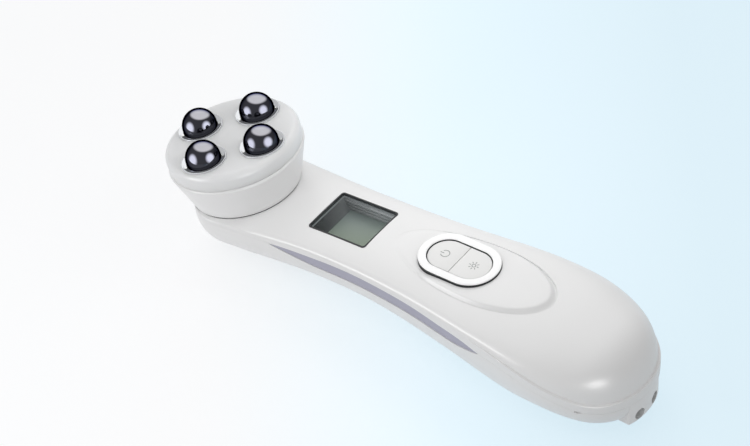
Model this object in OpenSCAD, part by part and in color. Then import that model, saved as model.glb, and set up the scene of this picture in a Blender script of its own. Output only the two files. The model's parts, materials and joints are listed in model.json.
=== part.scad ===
// Handheld facial toning device: a tilted round head with four polished contact
// balls on an arched handle with a display, two keys and a charging nose.
// Millimetres. X runs along the handle with the head at -X, Y across, Z up.
// The origin is in the middle of the length, on the surface that the back rests on.

/* [Handle] */
// Length of the handle from its nose to its tail
handle_len = 177; // [170:1:186]
// Height of the handle's hump, behind the keys
handle_h = 34.8; // [33.5:0.1:37]
// Width that the nose would reach without its rounded end
nose_w = 42.7; // [41:0.1:46]
// Width at the narrow waist
waist_w = 34.8; // [34:0.2:38]
// Width that the sides would reach at the tail without its rounded end
flare_w = 57.3; // [54:0.1:60]
// How far the underside arches up between its two resting ends
arch_rise = 5.5; // [3:0.1:6]
// Plan length of the rounded nose
nose_round = 18.5; // [16:0.5:21]
// Plan length of the rounded tail
tail_round = 40.5; // [36:0.5:46]
// Side length of the rounded nose
nose_edge = 14; // [12:0.5:16]
// Side length of the rounded tail
tail_edge = 15; // [12:0.5:18]
// Wall of both handle shells
wall = 2; // [1.8:0.1:2.3]
// Gap between the rims of the two shells
seam = 0.1; // [0.06:0.02:0.16]
// Height of the band between the rim and the step that runs round the tail
band_h = 3.4; // [3:0.1:4]
// Depth of the step above the band
step_d = 0.8; // [0.5:0.1:1]

/* [Head] */
// Tilt of the head towards the nose
head_tilt = 13.5; // [11:0.5:16]
// Distance from the nose to the head's axis on its seat
neck_in = 17; // [15.5:0.5:18.5]
// Height of the head's seat on its axis
neck_z = 21; // [20.6:0.1:21.6]
// Radius of the cup where it meets the handle
neck_r = 19; // [18.6:0.1:19.6]
// Thickness of the gasket under the cup
gasket_t = 0.4; // [0.3:0.1:0.6]
// Radius of the cup's rim
cup_r = 23.9; // [23.2:0.1:25]
// Height of the cup from its seat to its rim
cup_h = 14.2; // [13.5:0.1:16]
// Wall of the cup
cup_wall = 2; // [1.6:0.1:2.2]
// Step of the diffuser cap inside the cup's rim
cap_inset = 0.6; // [0.3:0.1:1]
// Height of the cap above the cup's rim
cap_h = 5.8; // [5.2:0.1:6.6]
// Rounding of the cap's outer edge
cap_round = 2.2; // [1.6:0.1:2.6]
// Wall of the cap
cap_wall = 2.2; // [1.8:0.1:2.6]

/* [Contact balls] */
// Diameter of a contact ball
ball_d = 12; // [11:0.2:12.6]
// Distance from the cap's side to the middle of each ball
ball_in = 9.2; // [8.8:0.1:9.6]
// Height of the ball centres above the cap
ball_rise = 1; // [0.6:0.1:1.6]
// Outer radius of the collar round each ball
collar_r = 7; // [6.8:0.1:7.2]
// Radius of the threaded stem under a ball
stem_r = 1.5; // [1.25:0.05:1.7]
// Number of light-emitting diodes round the head's board
led_count = 8; // [4:4:12]

/* [Display] */
// Distance from the nose to the middle of the display
lcd_in = 62.7; // [61:0.5:66]
// Length of the clear window
lcd_l = 22.6; // [20:0.2:23]
// Width of the clear window
lcd_w = 18.2; // [16:0.2:18.8]
// Thickness of the dark frame round the window
lcd_frame_t = 0.5; // [0.4:0.1:0.8]
// Thickness of the clear window
lcd_glass_t = 1; // [0.8:0.1:1.2]
// Depth of the display panel under the window's face
lcd_depth = 6.2; // [5.6:0.1:6.4]
// Thickness of the display panel
lcd_panel_t = 1.6; // [1.2:0.1:1.8]
// Thickness of the backlight
backlight_t = 1.4; // [1.2:0.1:1.5]

/* [Keys] */
// Distance from the nose to the middle of the keys
key_in = 105.7; // [103:0.5:108]
// Length of both keys together
key_l = 22.6; // [21:0.2:24]
// Width of the keys
key_w = 13; // [12:0.2:14]
// Width of the raised ring round the keys
ring_w = 2.75; // [2.4:0.05:3]
// Height of the ring above the pad
ring_h = 0.9; // [0.6:0.1:1.2]
// Height of the keys above the pad
key_rise = 0.45; // [0.2:0.05:0.6]
// Gap round each key
key_gap = 0.3; // [0.25:0.05:0.35]
// Travel of each key
key_travel = 0.5; // [0.3:0.1:0.6]
// Height of the raised pad at the keys
pad_h = 1; // [0.7:0.1:1.2]
// Half width of the raised pad
pad_half_w = 13.4; // [13.2:0.1:14.4]
// Length of the pad from its widest place towards the tail
pad_tail_l = 26; // [22:0.5:28]
// Length of the pad from its widest place towards the head
pad_head_l = 34.7; // [30:0.5:36]

/* [Side strips] */
// Distance from the nose to the strips' head tips
strip_in = 41; // [39:0.5:44]
// Length of the strips
strip_l = 87; // [80:0.5:88]
// Greatest height of the strips
strip_h = 3.8; // [3:0.1:4.2]
// Depth of the strips' face below the shells
strip_sink = 0.35; // [0.2:0.05:0.5]
// Thickness of the strips
strip_t = 0.8; // [0.6:0.05:0.9]

/* [Charging nose] */
// Width of the nose block under the tail
nose_block_w = 17; // [15:0.2:18]
// Height of the block's underside
nose_block_z = 7.3; // [7:0.1:8]
// Height of the two sockets
socket_z = 9.8; // [9.6:0.1:11]
// Distance between the two sockets
socket_pitch = 8.2; // [7.4:0.1:9]
// Radius of a socket
socket_r = 2.05; // [1.8:0.05:2.1]
// Depth of a socket
socket_depth = 7.5; // [6:0.25:8]

/* [Inside] */
// Distance from the keys' pad down to the main board
board_drop = 13.2; // [13:0.1:13.8]
// Thickness of the circuit boards
board_t = 1.2; // [1:0.1:1.6]
// Width of the main board
board_w = 25; // [22:0.5:26]
// Length of the main board
board_l = 98; // [96:1:102]
// Length of the battery
battery_l = 50; // [42:1:52]
// Width of the battery
battery_w = 23; // [20:1:24]
// Thickness of the battery
battery_t = 8; // [6:0.5:8.5]
// Radius of the screws' threads
screw_r = 1.1; // [0.9:0.05:1.2]
// Clearance between pieces that only rest on each other
rest_gap = 0.05; // [0.03:0.01:0.1]
// Running clearance between pieces that slide
slide_gap = 0.3; // [0.25:0.05:0.35]

/* [Hidden] */
$fn = 64;
hull_fn = 32;
tiny = 0.01;
screw_clear = 0.25;

// Places along X, with the whole length centred on the origin
head_h = cup_h + cap_h;
cap_r = cup_r - cap_inset;
ball_ring_r = cap_r - ball_in;
overhang = max(
  cup_h * sin(head_tilt) + cup_r * cos(head_tilt),
  (head_h - cap_round) * sin(head_tilt) + cap_r * cos(head_tilt)
) - neck_in;
nose_x = overhang - (handle_len + overhang) / 2;
tail_x = nose_x + handle_len;
neck_x = nose_x + neck_in;
lcd_x = nose_x + lcd_in;
key_x = nose_x + key_in;
strip_x = nose_x + strip_in;

// The handle's lines: [share of the length, height or half width]
function between(a, b, t) = a + (b - a) * t;
width_line = [
  [0, nose_w / 2],
  [0.155, between(nose_w, waist_w, 0.51) / 2],
  [0.33, waist_w / 2],
  [0.52, between(waist_w, flare_w, 0.1) / 2],
  [0.72, between(waist_w, flare_w, 0.46) / 2],
  [0.87, between(waist_w, flare_w, 0.76) / 2],
  [1, flare_w / 2]
];
top_line = [
  [0, 0.525 * handle_h],
  [0.16, 0.684 * handle_h],
  [0.33, 0.82 * handle_h],
  [0.525, 0.92 * handle_h],
  [0.72, 0.985 * handle_h],
  [0.85, handle_h],
  [1, 0.97 * handle_h]
];
foot_flat = 0.35;
bottom_line = [
  [0, -foot_flat],
  [0.09, -foot_flat],
  [0.28, 0.67 * arch_rise],
  [0.45, arch_rise],
  [0.62, 0.43 * arch_rise],
  [0.75, -foot_flat],
  [0.85, 2.3],
  [1, 3.8]
];
// Height of the widest line of each section
side_line = [
  [0, 0.488 * handle_h],
  [0.16, 0.6 * handle_h],
  [0.33, 0.713 * handle_h],
  [0.525, 0.784 * handle_h],
  [0.72, 0.819 * handle_h],
  [0.82, 0.756 * handle_h],
  [0.875, 0.681 * handle_h],
  [0.935, 0.585 * handle_h],
  [1, 0.485 * handle_h]
];
// Height of the line where the two shells meet
rim_line = [
  [0, 0.488 * handle_h],
  [0.24, 0.606 * handle_h],
  [0.47, 0.665 * handle_h],
  [0.72, 0.704 * handle_h],
  [0.8, 0.684 * handle_h],
  [0.89, 0.572 * handle_h],
  [0.95, 0.482 * handle_h],
  [1, 0.485 * handle_h]
];
tail_power = 2.08;
over_power = 2.45;
under_power = 2.2;
rows = 40;

// Smooth curve through [x, value] pairs
function line_slope(p, i) =
  i == 0 ? (p[1][1] - p[0][1]) / (p[1][0] - p[0][0]) :
  i == len(p) - 1 ? (p[i][1] - p[i - 1][1]) / (p[i][0] - p[i - 1][0]) :
  (p[i + 1][1] - p[i - 1][1]) / (p[i + 1][0] - p[i - 1][0]);
function line_span(p, x, i = 0) = i >= len(p) - 2 || x < p[i + 1][0] ? i : line_span(p, x, i + 1);
function hermite(a, b, sa, sb, w, t) =
  a * (2 * pow(t, 3) - 3 * pow(t, 2) + 1) + b * (3 * pow(t, 2) - 2 * pow(t, 3))
  + w * sa * (pow(t, 3) - 2 * pow(t, 2) + t) + w * sb * (pow(t, 3) - pow(t, 2));
function line_in_span(p, x, i) =
  let (w = p[i + 1][0] - p[i][0])
  hermite(p[i][1], p[i + 1][1], line_slope(p, i), line_slope(p, i + 1), w, (x - p[i][0]) / w);
function line_at(p, x) =
  let (s = (x - nose_x) / handle_len)
  line_in_span(p, s, line_span(p, s));
function ease(t) = let (c = min(1, max(0, t))) c * c * (3 - 2 * c);

// Rounded ends: 1 in the body, falling to 0 over the length r at an end
function end_round(d, r, power) = d >= r ? 1 : pow(max(0, 1 - pow(1 - max(0, d) / r, power)), 1 / power);
function plan_round(x, off) =
  end_round(x - nose_x - off, nose_round - off, 2)
  * end_round(tail_x - off - x, tail_round - off, tail_power);
function side_round(x, off) =
  end_round(x - nose_x - off, nose_edge - off, 2) * end_round(tail_x - off - x, tail_edge - off, 2.2);

// One section of the handle, at a depth off under its skin
function half_w(x, off) = (line_at(width_line, x) - off) * plan_round(x, off);
function over_h(x, mid, off) = (line_at(top_line, x) - off - mid) * side_round(x, off);
function under_h(x, mid, off) = (mid - line_at(bottom_line, x) - off) * side_round(x, off);
function side_z(x) = line_at(side_line, x);
function rim_z(x) = line_at(rim_line, x);
function power_at(s) = s >= 0 ? over_power : under_power;
function section_point(x, a, mid, off) =
  let (
    c = cos(a),
    s = sin(a),
    h = s >= 0 ? over_h(x, mid, off) : under_h(x, mid, off)
  )
  [
    x,
    sign(c) * half_w(x, off) * pow(abs(c), 2 / power_at(s)),
    mid + sign(s) * h * pow(abs(s), 2 / power_at(s))
  ];
// Angle on the section at which it reaches the height z
function section_angle(x, z, mid, off) =
  let (
    d = z - mid,
    h = d >= 0 ? over_h(x, mid, off) : under_h(x, mid, off)
  )
  sign(d) * asin(pow(min(1, abs(d) / max(tiny, h)), power_at(d) / 2));
// Half width of the handle at the height z
function side_y(x, z, off) =
  let (
    d = z - side_z(x),
    h = d >= 0 ? over_h(x, side_z(x), off) : under_h(x, side_z(x), off)
  )
  half_w(x, off) * pow(max(0, 1 - pow(min(1, abs(d) / h), power_at(d))), 1 / power_at(d));
// Heights of the top and the underside off the centre line
function section_share(x, y, off, power) =
  pow(max(0, 1 - pow(min(1, abs(y) / half_w(x, off)), power)), 1 / power);
function top_z(x, y, off) = side_z(x) + over_h(x, side_z(x), off) * section_share(x, y, off, over_power);
function floor_z(x, y, off) = side_z(x) - under_h(x, side_z(x), off) * section_share(x, y, off, under_power);
function top_slope(x) = (top_z(x + 1, 0, 0) - top_z(x - 1, 0, 0)) / 2;

// Frames of the head, the display and the keys
lcd_tilt = atan(top_slope(lcd_x));
lcd_z = top_z(lcd_x, 0, 0);
key_tilt = atan(top_slope(key_x));
key_z = top_z(key_x, 0, 0) + pad_h;
module at_head() translate([neck_x, 0, neck_z]) rotate([0, -head_tilt, 0]) children();
module at_lcd() translate([lcd_x, 0, lcd_z]) rotate([0, -lcd_tilt, 0]) children();
module at_keys() translate([key_x, 0, key_z]) rotate([0, -key_tilt, 0]) children();

// A closed solid through a list of loops with the same number of points
module loft(loops) {
  n = len(loops[0]);
  m = len(loops);
  function at(i, j) = i * n + j % n;
  side = [
    for (i = [0 : m - 2]) for (j = [0 : n - 1])
      each [[at(i, j), at(i, j + 1), at(i + 1, j + 1)], [at(i, j), at(i + 1, j + 1), at(i + 1, j)]]
  ];
  first = [for (j = [1 : n - 2]) [at(0, 0), at(0, j + 1), at(0, j)]];
  last = [for (j = [1 : n - 2]) [at(m - 1, 0), at(m - 1, j), at(m - 1, j + 1)]];
  polyhedron(points = [for (l = loops) each l], faces = concat(side, first, last), convexity = 6);
}

// A half shell between two skins. Each skin is [first tip, rows of points, last tip].
module half_shell(outer, inner) {
  r = len(outer[1]);
  m = len(outer[1][0]);
  k = len(inner[1][0]);
  base = 2 + r * m;
  last_in = base + 1 + r * k;
  function o(i, j) = 1 + i * m + j;
  function n(i, j) = base + 1 + i * k + j;
  out_faces = [
    for (i = [0 : r - 2]) for (j = [0 : m - 2])
      each [[o(i, j), o(i + 1, j + 1), o(i, j + 1)], [o(i, j), o(i + 1, j), o(i + 1, j + 1)]]
  ];
  out_tips = [
    for (j = [0 : m - 2]) each [[0, o(0, j), o(0, j + 1)], [base - 1, o(r - 1, j + 1), o(r - 1, j)]]
  ];
  in_faces = [
    for (i = [0 : r - 2]) for (j = [0 : k - 2])
      each [[n(i, j), n(i, j + 1), n(i + 1, j + 1)], [n(i, j), n(i + 1, j + 1), n(i + 1, j)]]
  ];
  in_tips = [
    for (j = [0 : k - 2]) each [[base, n(0, j + 1), n(0, j)], [last_in, n(r - 1, j), n(r - 1, j + 1)]]
  ];
  rim_a = [
    for (i = [0 : r - 2])
      each [[o(i, 0), n(i + 1, 0), o(i + 1, 0)], [o(i, 0), n(i, 0), n(i + 1, 0)]]
  ];
  rim_b = [
    for (i = [0 : r - 2])
      each [
        [o(i + 1, m - 1), n(i + 1, k - 1), o(i, m - 1)],
        [o(i, m - 1), n(i + 1, k - 1), n(i, k - 1)]
      ]
  ];
  ends = [
    [0, n(0, 0), o(0, 0)], [0, base, n(0, 0)],
    [o(r - 1, 0), last_in, base - 1], [o(r - 1, 0), n(r - 1, 0), last_in],
    [o(0, m - 1), base, 0], [o(0, m - 1), n(0, k - 1), base],
    [base - 1, n(r - 1, k - 1), o(r - 1, m - 1)], [base - 1, last_in, n(r - 1, k - 1)]
  ];
  polyhedron(
    points = concat(
      [outer[0]], [for (l = outer[1]) each l], [outer[2]],
      [inner[0]], [for (l = inner[1]) each l], [inner[2]]
    ),
    faces = concat(out_faces, out_tips, in_faces, in_tips, rim_a, rim_b, ends),
    convexity = 8
  );
}
function row_x(i, off) =
  nose_x + off + (handle_len - 2 * off) * (1 - cos(180 * i / rows)) / 2;
function step_at(x) = step_d * ease(((x - nose_x) / handle_len - 0.79) / 0.07);

// Rows of a half shell: steps in angle from a0 to a1
inner_steps = 14;
function skin_row(x, a0, a1, steps, mid, off) =
  [for (k = [0 : steps]) section_point(x, between(a0, a1, k / steps), mid, off)];
function shift_z(points, dz) = [for (p = points) p + [0, 0, dz]];
// A point over the step: it never sinks below the top of the band
function over_step(x, a, low) =
  let (
    d = step_at(x),
    p = section_point(x, a, side_z(x), 0),
    y = half_w(x, d) * pow(abs(cos(a)), 2 / over_power),
    h = (line_at(top_line, x) - side_z(x)) * side_round(x, d)
  )
  [x, sign(p[1]) * max(y, 0.35 * abs(p[1])), max(side_z(x) + h * pow(sin(a), 2 / over_power), low)];
over_steps = 16;
function top_outer_row(x) =
  let (
    a = section_angle(x, rim_z(x), side_z(x), 0),
    b = min(50, section_angle(x, rim_z(x) + band_h, side_z(x), 0)),
    low = section_point(x, b, side_z(x), 0)[2]
  )
  concat(
    [for (t = [a, between(a, b, 0.5), b]) section_point(x, t, side_z(x), 0)],
    [for (k = [0 : over_steps]) over_step(x, between(b + 4, 176 - b, k / over_steps), low)],
    [for (t = [b, between(a, b, 0.5), a]) section_point(x, 180 - t, side_z(x), 0)]
  );
function bottom_outer_row(x) =
  let (a = section_angle(x, rim_z(x), side_z(x), 0))
  skin_row(x, 180 - a, 360 + a, 18, side_z(x), 0);
function outer_tip(x) = [x, 0, side_z(x)];
function inner_tip(x) = [x, 0, rim_z(x)];

// Plan outline of a stadium and of a rounded rectangle
module stadium(l, w) {
  square([l - w, w], center = true);
  for (side = [-1, 1]) translate([side * (l - w) / 2, 0]) circle(d = w);
}
module rounded_rect(l, w, r) {
  square([l - 2 * r, w], center = true);
  square([l, w - 2 * r], center = true);
  for (a = [-1, 1]) for (b = [-1, 1]) translate([a * (l / 2 - r), b * (w / 2 - r)]) circle(r = r);
}
module tube(r_out, r_in, h) {
  difference() {
    cylinder(r = r_out, h = h);
    translate([0, 0, -1]) cylinder(r = r_in, h = h + 2);
  }
}
// A round wire swept along points in a vertical or flat plane
function unit(v) = v / norm(v);
function wire_dir(p, i) = unit(p[min(len(p) - 1, i + 1)] - p[max(0, i - 1)]);
function wire_loop(p, i, r, sides) =
  let (
    d = wire_dir(p, i),
    u = unit(cross(d, abs(d[1]) > 0.8 ? [0, 0, 1] : [0, 1, 0])),
    v = cross(d, u)
  )
  [for (k = [0 : sides - 1]) p[i] + r * (cos(360 * k / sides) * u - sin(360 * k / sides) * v)];
module wire(p, r, sides = 8) loft([for (i = [0 : len(p) - 1]) wire_loop(p, i, r, sides)]);

// ---------------------------------------------------------------- handle shells
// Raised pad round the keys, as rings of [share of the outline, share of the rise]
pad_mid = 10;
pad_root = -0.9;
pad_lip = 0.18;
pad_rings = [
  [0.05, -1], [0.55, -1], [1, -1], [1, 0], [0.93, 0.8], [0.86, 1], [0.7, 1], [0.5, 1], [0.25, 1], [0.05, 1]
];
function pad_rise(share, u) =
  share < 0 ? pad_root : pad_lip + share * (pad_h - pad_lip) * ease((u + 18) / 20);
function pad_loop(ring) = [
  for (k = [0 : 39])
    let (
      c = cos(9 * k),
      u = pad_mid + (c > 0 ? pad_tail_l : pad_head_l) * c * ring[0],
      v = -pad_half_w * sin(9 * k) * ring[0],
      x = key_x + u
    )
    [x, v, top_z(x, v, 0) + pad_rise(ring[1], u)]
];
module pad_lump() loft([for (r = pad_rings) pad_loop(r)]);

// A spindle that follows the side of the handle, between two depths under its skin
strip_rows = 22;
strip_x1 = strip_x + strip_l;
function strip_half(t, extra) = extra + strip_h / 2 * pow(sin(180 * between(0.012, 0.988, t)), 0.75);
function strip_section(side, t, extra, off_out, off_in) =
  let (
    x = between(strip_x - extra, strip_x1 + extra, t),
    h = strip_half(t, extra),
    z = rim_z(x),
    shares = [-1, -0.35, 0.35, 1],
    outer = [for (k = shares) [x, side * side_y(x, z + k * h, off_out), z + k * h]],
    inner = [for (k = shares) [x, side * side_y(x, z - k * h, off_in), z - k * h]]
  )
  side < 0 ? concat(outer, inner) : [for (k = [7 : -1 : 0]) concat(outer, inner)[k]];
module strip_form(side, extra, off_out, off_in)
  loft([for (i = [0 : strip_rows]) strip_section(side, i / strip_rows, extra, off_out, off_in)]);
module strip_pockets()
  for (side = [-1, 1]) strip_form(side, rest_gap, -1, strip_sink + strip_t + rest_gap);

// Openings in the top shell
lcd_hole_l = lcd_l + 2 * lcd_frame_t + 2 * rest_gap;
lcd_hole_w = lcd_w + 2 * lcd_frame_t + 2 * rest_gap;
ring_l = key_l + 2 * key_gap + 2 * ring_w;
ring_out_w = key_w + 2 * key_gap + 2 * ring_w;
ring_gap = 0.15;
ring_seat = 1.4;
flange_l = key_l + 2.4;
flange_w = key_w + 2.4;
module lcd_hole() at_lcd() translate([0, 0, -8]) linear_extrude(12)
  rounded_rect(lcd_hole_l, lcd_hole_w, 1.2);
module key_hole() at_keys() {
  translate([0, 0, -ring_seat]) linear_extrude(6) stadium(ring_l + 2 * ring_gap, ring_out_w + 2 * ring_gap);
  translate([0, 0, -9]) linear_extrude(9) stadium(flange_l + 2 * slide_gap, flange_w + 2 * slide_gap);
}

// Seat of the head: a plate that closes the top shell's nose
seat_t = 2.6;
seat_taper = 1.6;
cable_hole_r = 4;
head_screw_ring = neck_r - 8;
module diagonals(r) for (a = [45 : 90 : 315]) rotate([0, 0, a]) translate([r, 0, 0]) children();
module seat_plate() at_head() translate([0, 0, -gasket_t - seat_t])
  cylinder(r1 = neck_r - seat_taper, r2 = neck_r, h = seat_t);
// Room for the seat in the nose of the bottom shell
module seat_room() at_head() {
  translate([0, 0, -gasket_t - seat_t - rest_gap])
    cylinder(r1 = neck_r - seat_taper + 0.1, r2 = neck_r + 0.1, h = seat_t + rest_gap);
  translate([0, 0, -gasket_t - tiny]) cylinder(r = neck_r + 0.3, h = 12);
}
module seat_cut() at_head() {
  translate([0, 0, -gasket_t]) cylinder(r = neck_r + 0.3, h = 12);
  translate([0, 0, -gasket_t - seat_t - 4]) cylinder(r = cable_hole_r, h = seat_t + 8);
  translate([0, 0, -gasket_t - seat_t - 4]) diagonals(head_screw_ring)
    cylinder(r = screw_r + screw_clear, h = seat_t + 8, $fn = hull_fn);
}

// Screws
screw_head_r = 2.1;
screw_head_h = 1.6;
// A screw that points up from z = 0, with its head below
module screw(length) {
  translate([0, 0, -screw_head_h]) cylinder(r = screw_head_r, h = screw_head_h, $fn = hull_fn);
  cylinder(r = screw_r, h = length, $fn = hull_fn);
}
// Places of the screws that join the shells and hold the main board
front_post_x = nose_x + 39;
rear_post_x = nose_x + 157;
post_y = 6;
post_r = 2.8;
shell_posts = [for (x = [front_post_x, rear_post_x]) for (side = [-1, 1]) [x, side * post_y]];
board_x0 = lcd_x - 15.5;
board_x1 = board_x0 + board_l;
board_post_r = 2.2;
board_post_y = board_w / 2 - 2.5;
board_posts = [
  for (x = [lcd_x + 17.6, board_x1 - 6]) for (side = [-1, 1]) [x, side * board_post_y]
];
function board_top(x) = key_z - board_drop / cos(key_tilt) + (x - key_x) * tan(key_tilt);
// The main board lies square to the keys; places on it are given as [x, y]
module on_board(p) at_keys() translate([(p[0] - key_x) / cos(key_tilt), p[1], -board_drop]) children();
module board_post(p) on_board(p)
  cylinder(r = board_post_r, h = top_z(p[0], p[1], 1.4) - board_top(p[0]) - 0.2, $fn = hull_fn);
module top_post(p) {
  low = rim_z(p[0]);
  translate([p[0], p[1], low]) cylinder(r = post_r, h = top_z(p[0], p[1], 1.7) - low, $fn = hull_fn);
}
function bottom_post_low(p) = floor_z(p[0], p[1], 0.9);
module bottom_post(p) translate([p[0], p[1], bottom_post_low(p)])
  cylinder(r = post_r + 0.4, h = rim_z(p[0]) - rest_gap - bottom_post_low(p), $fn = hull_fn);
function screw_seat_z(p) = floor_z(p[0], p[1], 0) + 4.5;
module bottom_post_hole(p) {
  translate([p[0], p[1], -2])
    cylinder(r = screw_head_r + screw_clear, h = screw_seat_z(p) + 2, $fn = hull_fn);
  translate([p[0], p[1], 0]) cylinder(r = screw_r + screw_clear, h = 40, $fn = hull_fn);
}

// Posts under the keys that carry the key board
key_board_z = -10;
key_board_l = flange_l + 13;
key_board_w = 15;
key_post_u = flange_l / 2 + 3.9;
key_post_r = 2.2;
module key_posts(r, low, high) at_keys() for (side = [-1, 1]) translate([side * key_post_u, 0, low])
  cylinder(r = r, h = high - low, $fn = hull_fn);

function lifted(rows_of_points, dz) = [for (l = rows_of_points) shift_z(l, dz)];
function inner_rows(a0, a1) = [
  for (i = [1 : rows - 1]) let (x = row_x(i, wall)) skin_row(x, a0, a1, inner_steps, rim_z(x), wall)
];

module top_shell() color("#eceeed") {
  outer = [for (i = [1 : rows - 1]) top_outer_row(row_x(i, 0))];
  inner = lifted(inner_rows(0, 180), seam / 2);
  lift = [0, 0, seam / 2];
  difference() {
    union() {
      half_shell(
        [outer_tip(nose_x), lifted(outer, seam / 2), outer_tip(tail_x)],
        [inner_tip(nose_x + wall) + lift, inner, inner_tip(tail_x - wall) + lift]
      );
      pad_lump();
      seat_plate();
      for (p = shell_posts) top_post(p);
      for (p = board_posts) board_post(p);
      key_posts(key_post_r, key_board_z, -2);
    }
    lcd_hole();
    key_hole();
    seat_cut();
    strip_pockets();
    for (p = shell_posts) translate([p[0], p[1], rim_z(p[0]) - 1])
      cylinder(r = screw_r + rest_gap, h = 7, $fn = hull_fn);
    for (p = board_posts) on_board(p) translate([0, 0, -1])
      cylinder(r = screw_r + rest_gap, h = 6, $fn = hull_fn);
    key_posts(screw_r + rest_gap, key_board_z - 1, key_board_z + 4.5);
  }
}

// The block that carries the charging sockets: its face follows the tail's plan outline
block_in = 12;
block_x = tail_x - block_in;
block_rows = 8;
function plan_y(x) = half_w(x, 0.2);
function tail_point(k) =
  let (x = tail_x - 0.2 - (tail_x - 0.2 - block_face_x) * pow(1 - k / block_rows, 2))
  [x, plan_y(x)];
// Where the tail's outline is as wide as the block, found by halving
function outline_x(w, lo, hi, n = 24) =
  let (mid = (lo + hi) / 2)
  n == 0 ? lo : plan_y(mid) > w ? outline_x(w, mid, hi, n - 1) : outline_x(w, lo, mid, n - 1);
block_face_x = outline_x(nose_block_w / 2, tail_x - tail_round, tail_x - 0.21);
block_top_z = rim_z(tail_x - 0.05 * handle_len) - seam;
shelf_l = 5;
module block_outline(grow) {
  face = [for (k = [0 : block_rows]) tail_point(k)];
  polygon(concat(
    [[block_x - grow, -nose_block_w / 2 - grow]],
    [for (k = [0 : block_rows]) [face[k][0] + 60 * grow, -face[k][1] - grow]],
    [for (k = [block_rows - 1 : -1 : 0]) [face[k][0] + 60 * grow, face[k][1] + grow]],
    [[block_x - grow, nose_block_w / 2 + grow]]
  ));
}

// Ribs that carry the battery's foam, in the frame of the keys
battery_top = -board_drop - board_t - 1.9;
foam_t = 1.5;
foam_low = battery_top - battery_t - foam_t;
battery_clear = 4.2;
battery_u = (rear_post_x - key_x) / cos(key_tilt) - post_r - 0.4 - battery_clear - battery_l;
rib_places = [battery_u + 8, battery_u + battery_l - 8];
module battery_ribs() at_keys() for (u = rib_places)
  translate([u - 0.8, -8, foam_low - 12]) cube([1.6, 16, 12]);
// The inside of the handle's skin, a little into the wall, to trim ribs and shelves
module trim_to_wall() intersection() {
  children();
  loft([
    for (i = [2 : 2 : rows - 2])
      let (x = row_x(i, 1)) [for (k = [0 : 31]) section_point(x, -11.25 * k, side_z(x), 1)]
  ]);
}
// A small pocket at the rim for prying the shells apart
pry_x = tail_x - 12.5;
module pry_notch() translate([pry_x - 1.6, -side_y(pry_x, rim_z(pry_x), 0) - 1, rim_z(pry_x) - 0.6])
  cube([3.2, 1.7, 1]);
module block_shelf() translate([block_x + 0.2, -6, 0]) cube([shelf_l, 12, nose_block_z - rest_gap]);

module bottom_shell() color("#e6e8e7") {
  outer = [for (i = [1 : rows - 1]) bottom_outer_row(row_x(i, 0))];
  inner = lifted(inner_rows(180, 360), -seam / 2);
  drop = [0, 0, -seam / 2];
  difference() {
    union() {
      half_shell(
        [outer_tip(nose_x), lifted(outer, -seam / 2), outer_tip(tail_x)],
        [inner_tip(nose_x + wall) + drop, inner, inner_tip(tail_x - wall) + drop]
      );
      for (p = shell_posts) bottom_post(p);
      trim_to_wall() {
        battery_ribs();
        block_shelf();
      }
    }
    strip_pockets();
    seat_room();
    pry_notch();
    for (p = shell_posts) bottom_post_hole(p);
    translate([0, 0, nose_block_z - rest_gap]) linear_extrude(20) block_outline(rest_gap);
    translate([-handle_len, -40, -5]) cube([2 * handle_len, 80, 5]);
  }
}

module shell_screws() color("#8f949a") for (p = shell_posts)
  translate([p[0], p[1], screw_seat_z(p)]) screw(rim_z(p[0]) + 5 - screw_seat_z(p));

// ---------------------------------------------------------------- charging nose
pin_head_t = 0.8;
pin_head_r = socket_r - 0.3;
pin_r = 1;
module at_socket(side) translate([tail_x - 0.7, side * socket_pitch / 2, socket_z])
  rotate([0, 90, 0]) children();
module socket_block() color("#e9ebea") difference() {
  translate([0, 0, nose_block_z]) linear_extrude(block_top_z - nose_block_z) block_outline(0);
  for (side = [-1, 1]) at_socket(side) {
    translate([0, 0, -socket_depth]) cylinder(r = socket_r, h = socket_depth + 3);
    translate([0, 0, -socket_depth - pin_head_t])
      cylinder(r = pin_head_r + rest_gap, h = pin_head_t + 1, $fn = hull_fn);
    translate([0, 0, -20]) cylinder(r = pin_r + rest_gap, h = 20, $fn = hull_fn);
  }
}
module charge_pin(side) color("#c9a24a") at_socket(side) {
  translate([0, 0, -socket_depth - pin_head_t]) cylinder(r = pin_head_r, h = pin_head_t, $fn = hull_fn);
  translate([0, 0, -block_in - 1.5]) cylinder(r = pin_r, h = block_in + 1.5 - socket_depth, $fn = hull_fn);
}
lead_r = 0.55;
function under_board(x) = board_top(x) - board_t - lead_r - 0.1;
module charge_leads() color("#b5322c") for (side = [-1, 1]) {
  x0 = tail_x - 0.7 - block_in - 1.5;
  x1 = board_x1 - 2;
  y0 = side * socket_pitch / 2;
  wire([
    [x0, y0, socket_z], [x0 - 1, y0, socket_z], [x0 - 2.5, 0.75 * y0, socket_z + 0.6],
    [x0 - 5, 0.36 * y0, socket_z + 3], [x0 - 8.5, 0.36 * y0, socket_z + 7],
    [x0 - 9.8, 0.4 * y0, under_board(x0 - 9.8) - 1], [x0 - 11.2, 0.5 * y0, under_board(x0 - 11.2)],
    [x1, 0.6 * y0, under_board(x1) + 0.08], [x1 - 2, 0.6 * y0, under_board(x1 - 2) + 0.08]
  ], lead_r);
}

// ---------------------------------------------------------------- head
plate_z = 8;
plate_t = 2;
plate_in = 4.5;
plate_r = cup_r - plate_in;
cup_floor = 2;
ledge_w = 2.2;
ledge_r = plate_r - ledge_w;
spigot_h = 1.2;
ball_z = head_h + ball_rise;
board_level = plate_z + plate_t;
ball_hole_r = ball_d / 2 + 0.2;
shoulder_r = 2.5;
stem_end = plate_z - 3.2;
nut_h = 2.4;
lug_t = 0.4;
module ball_places() for (a = [0 : 90 : 270]) rotate([0, 0, a]) translate([ball_ring_r, 0, 0]) children();

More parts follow.
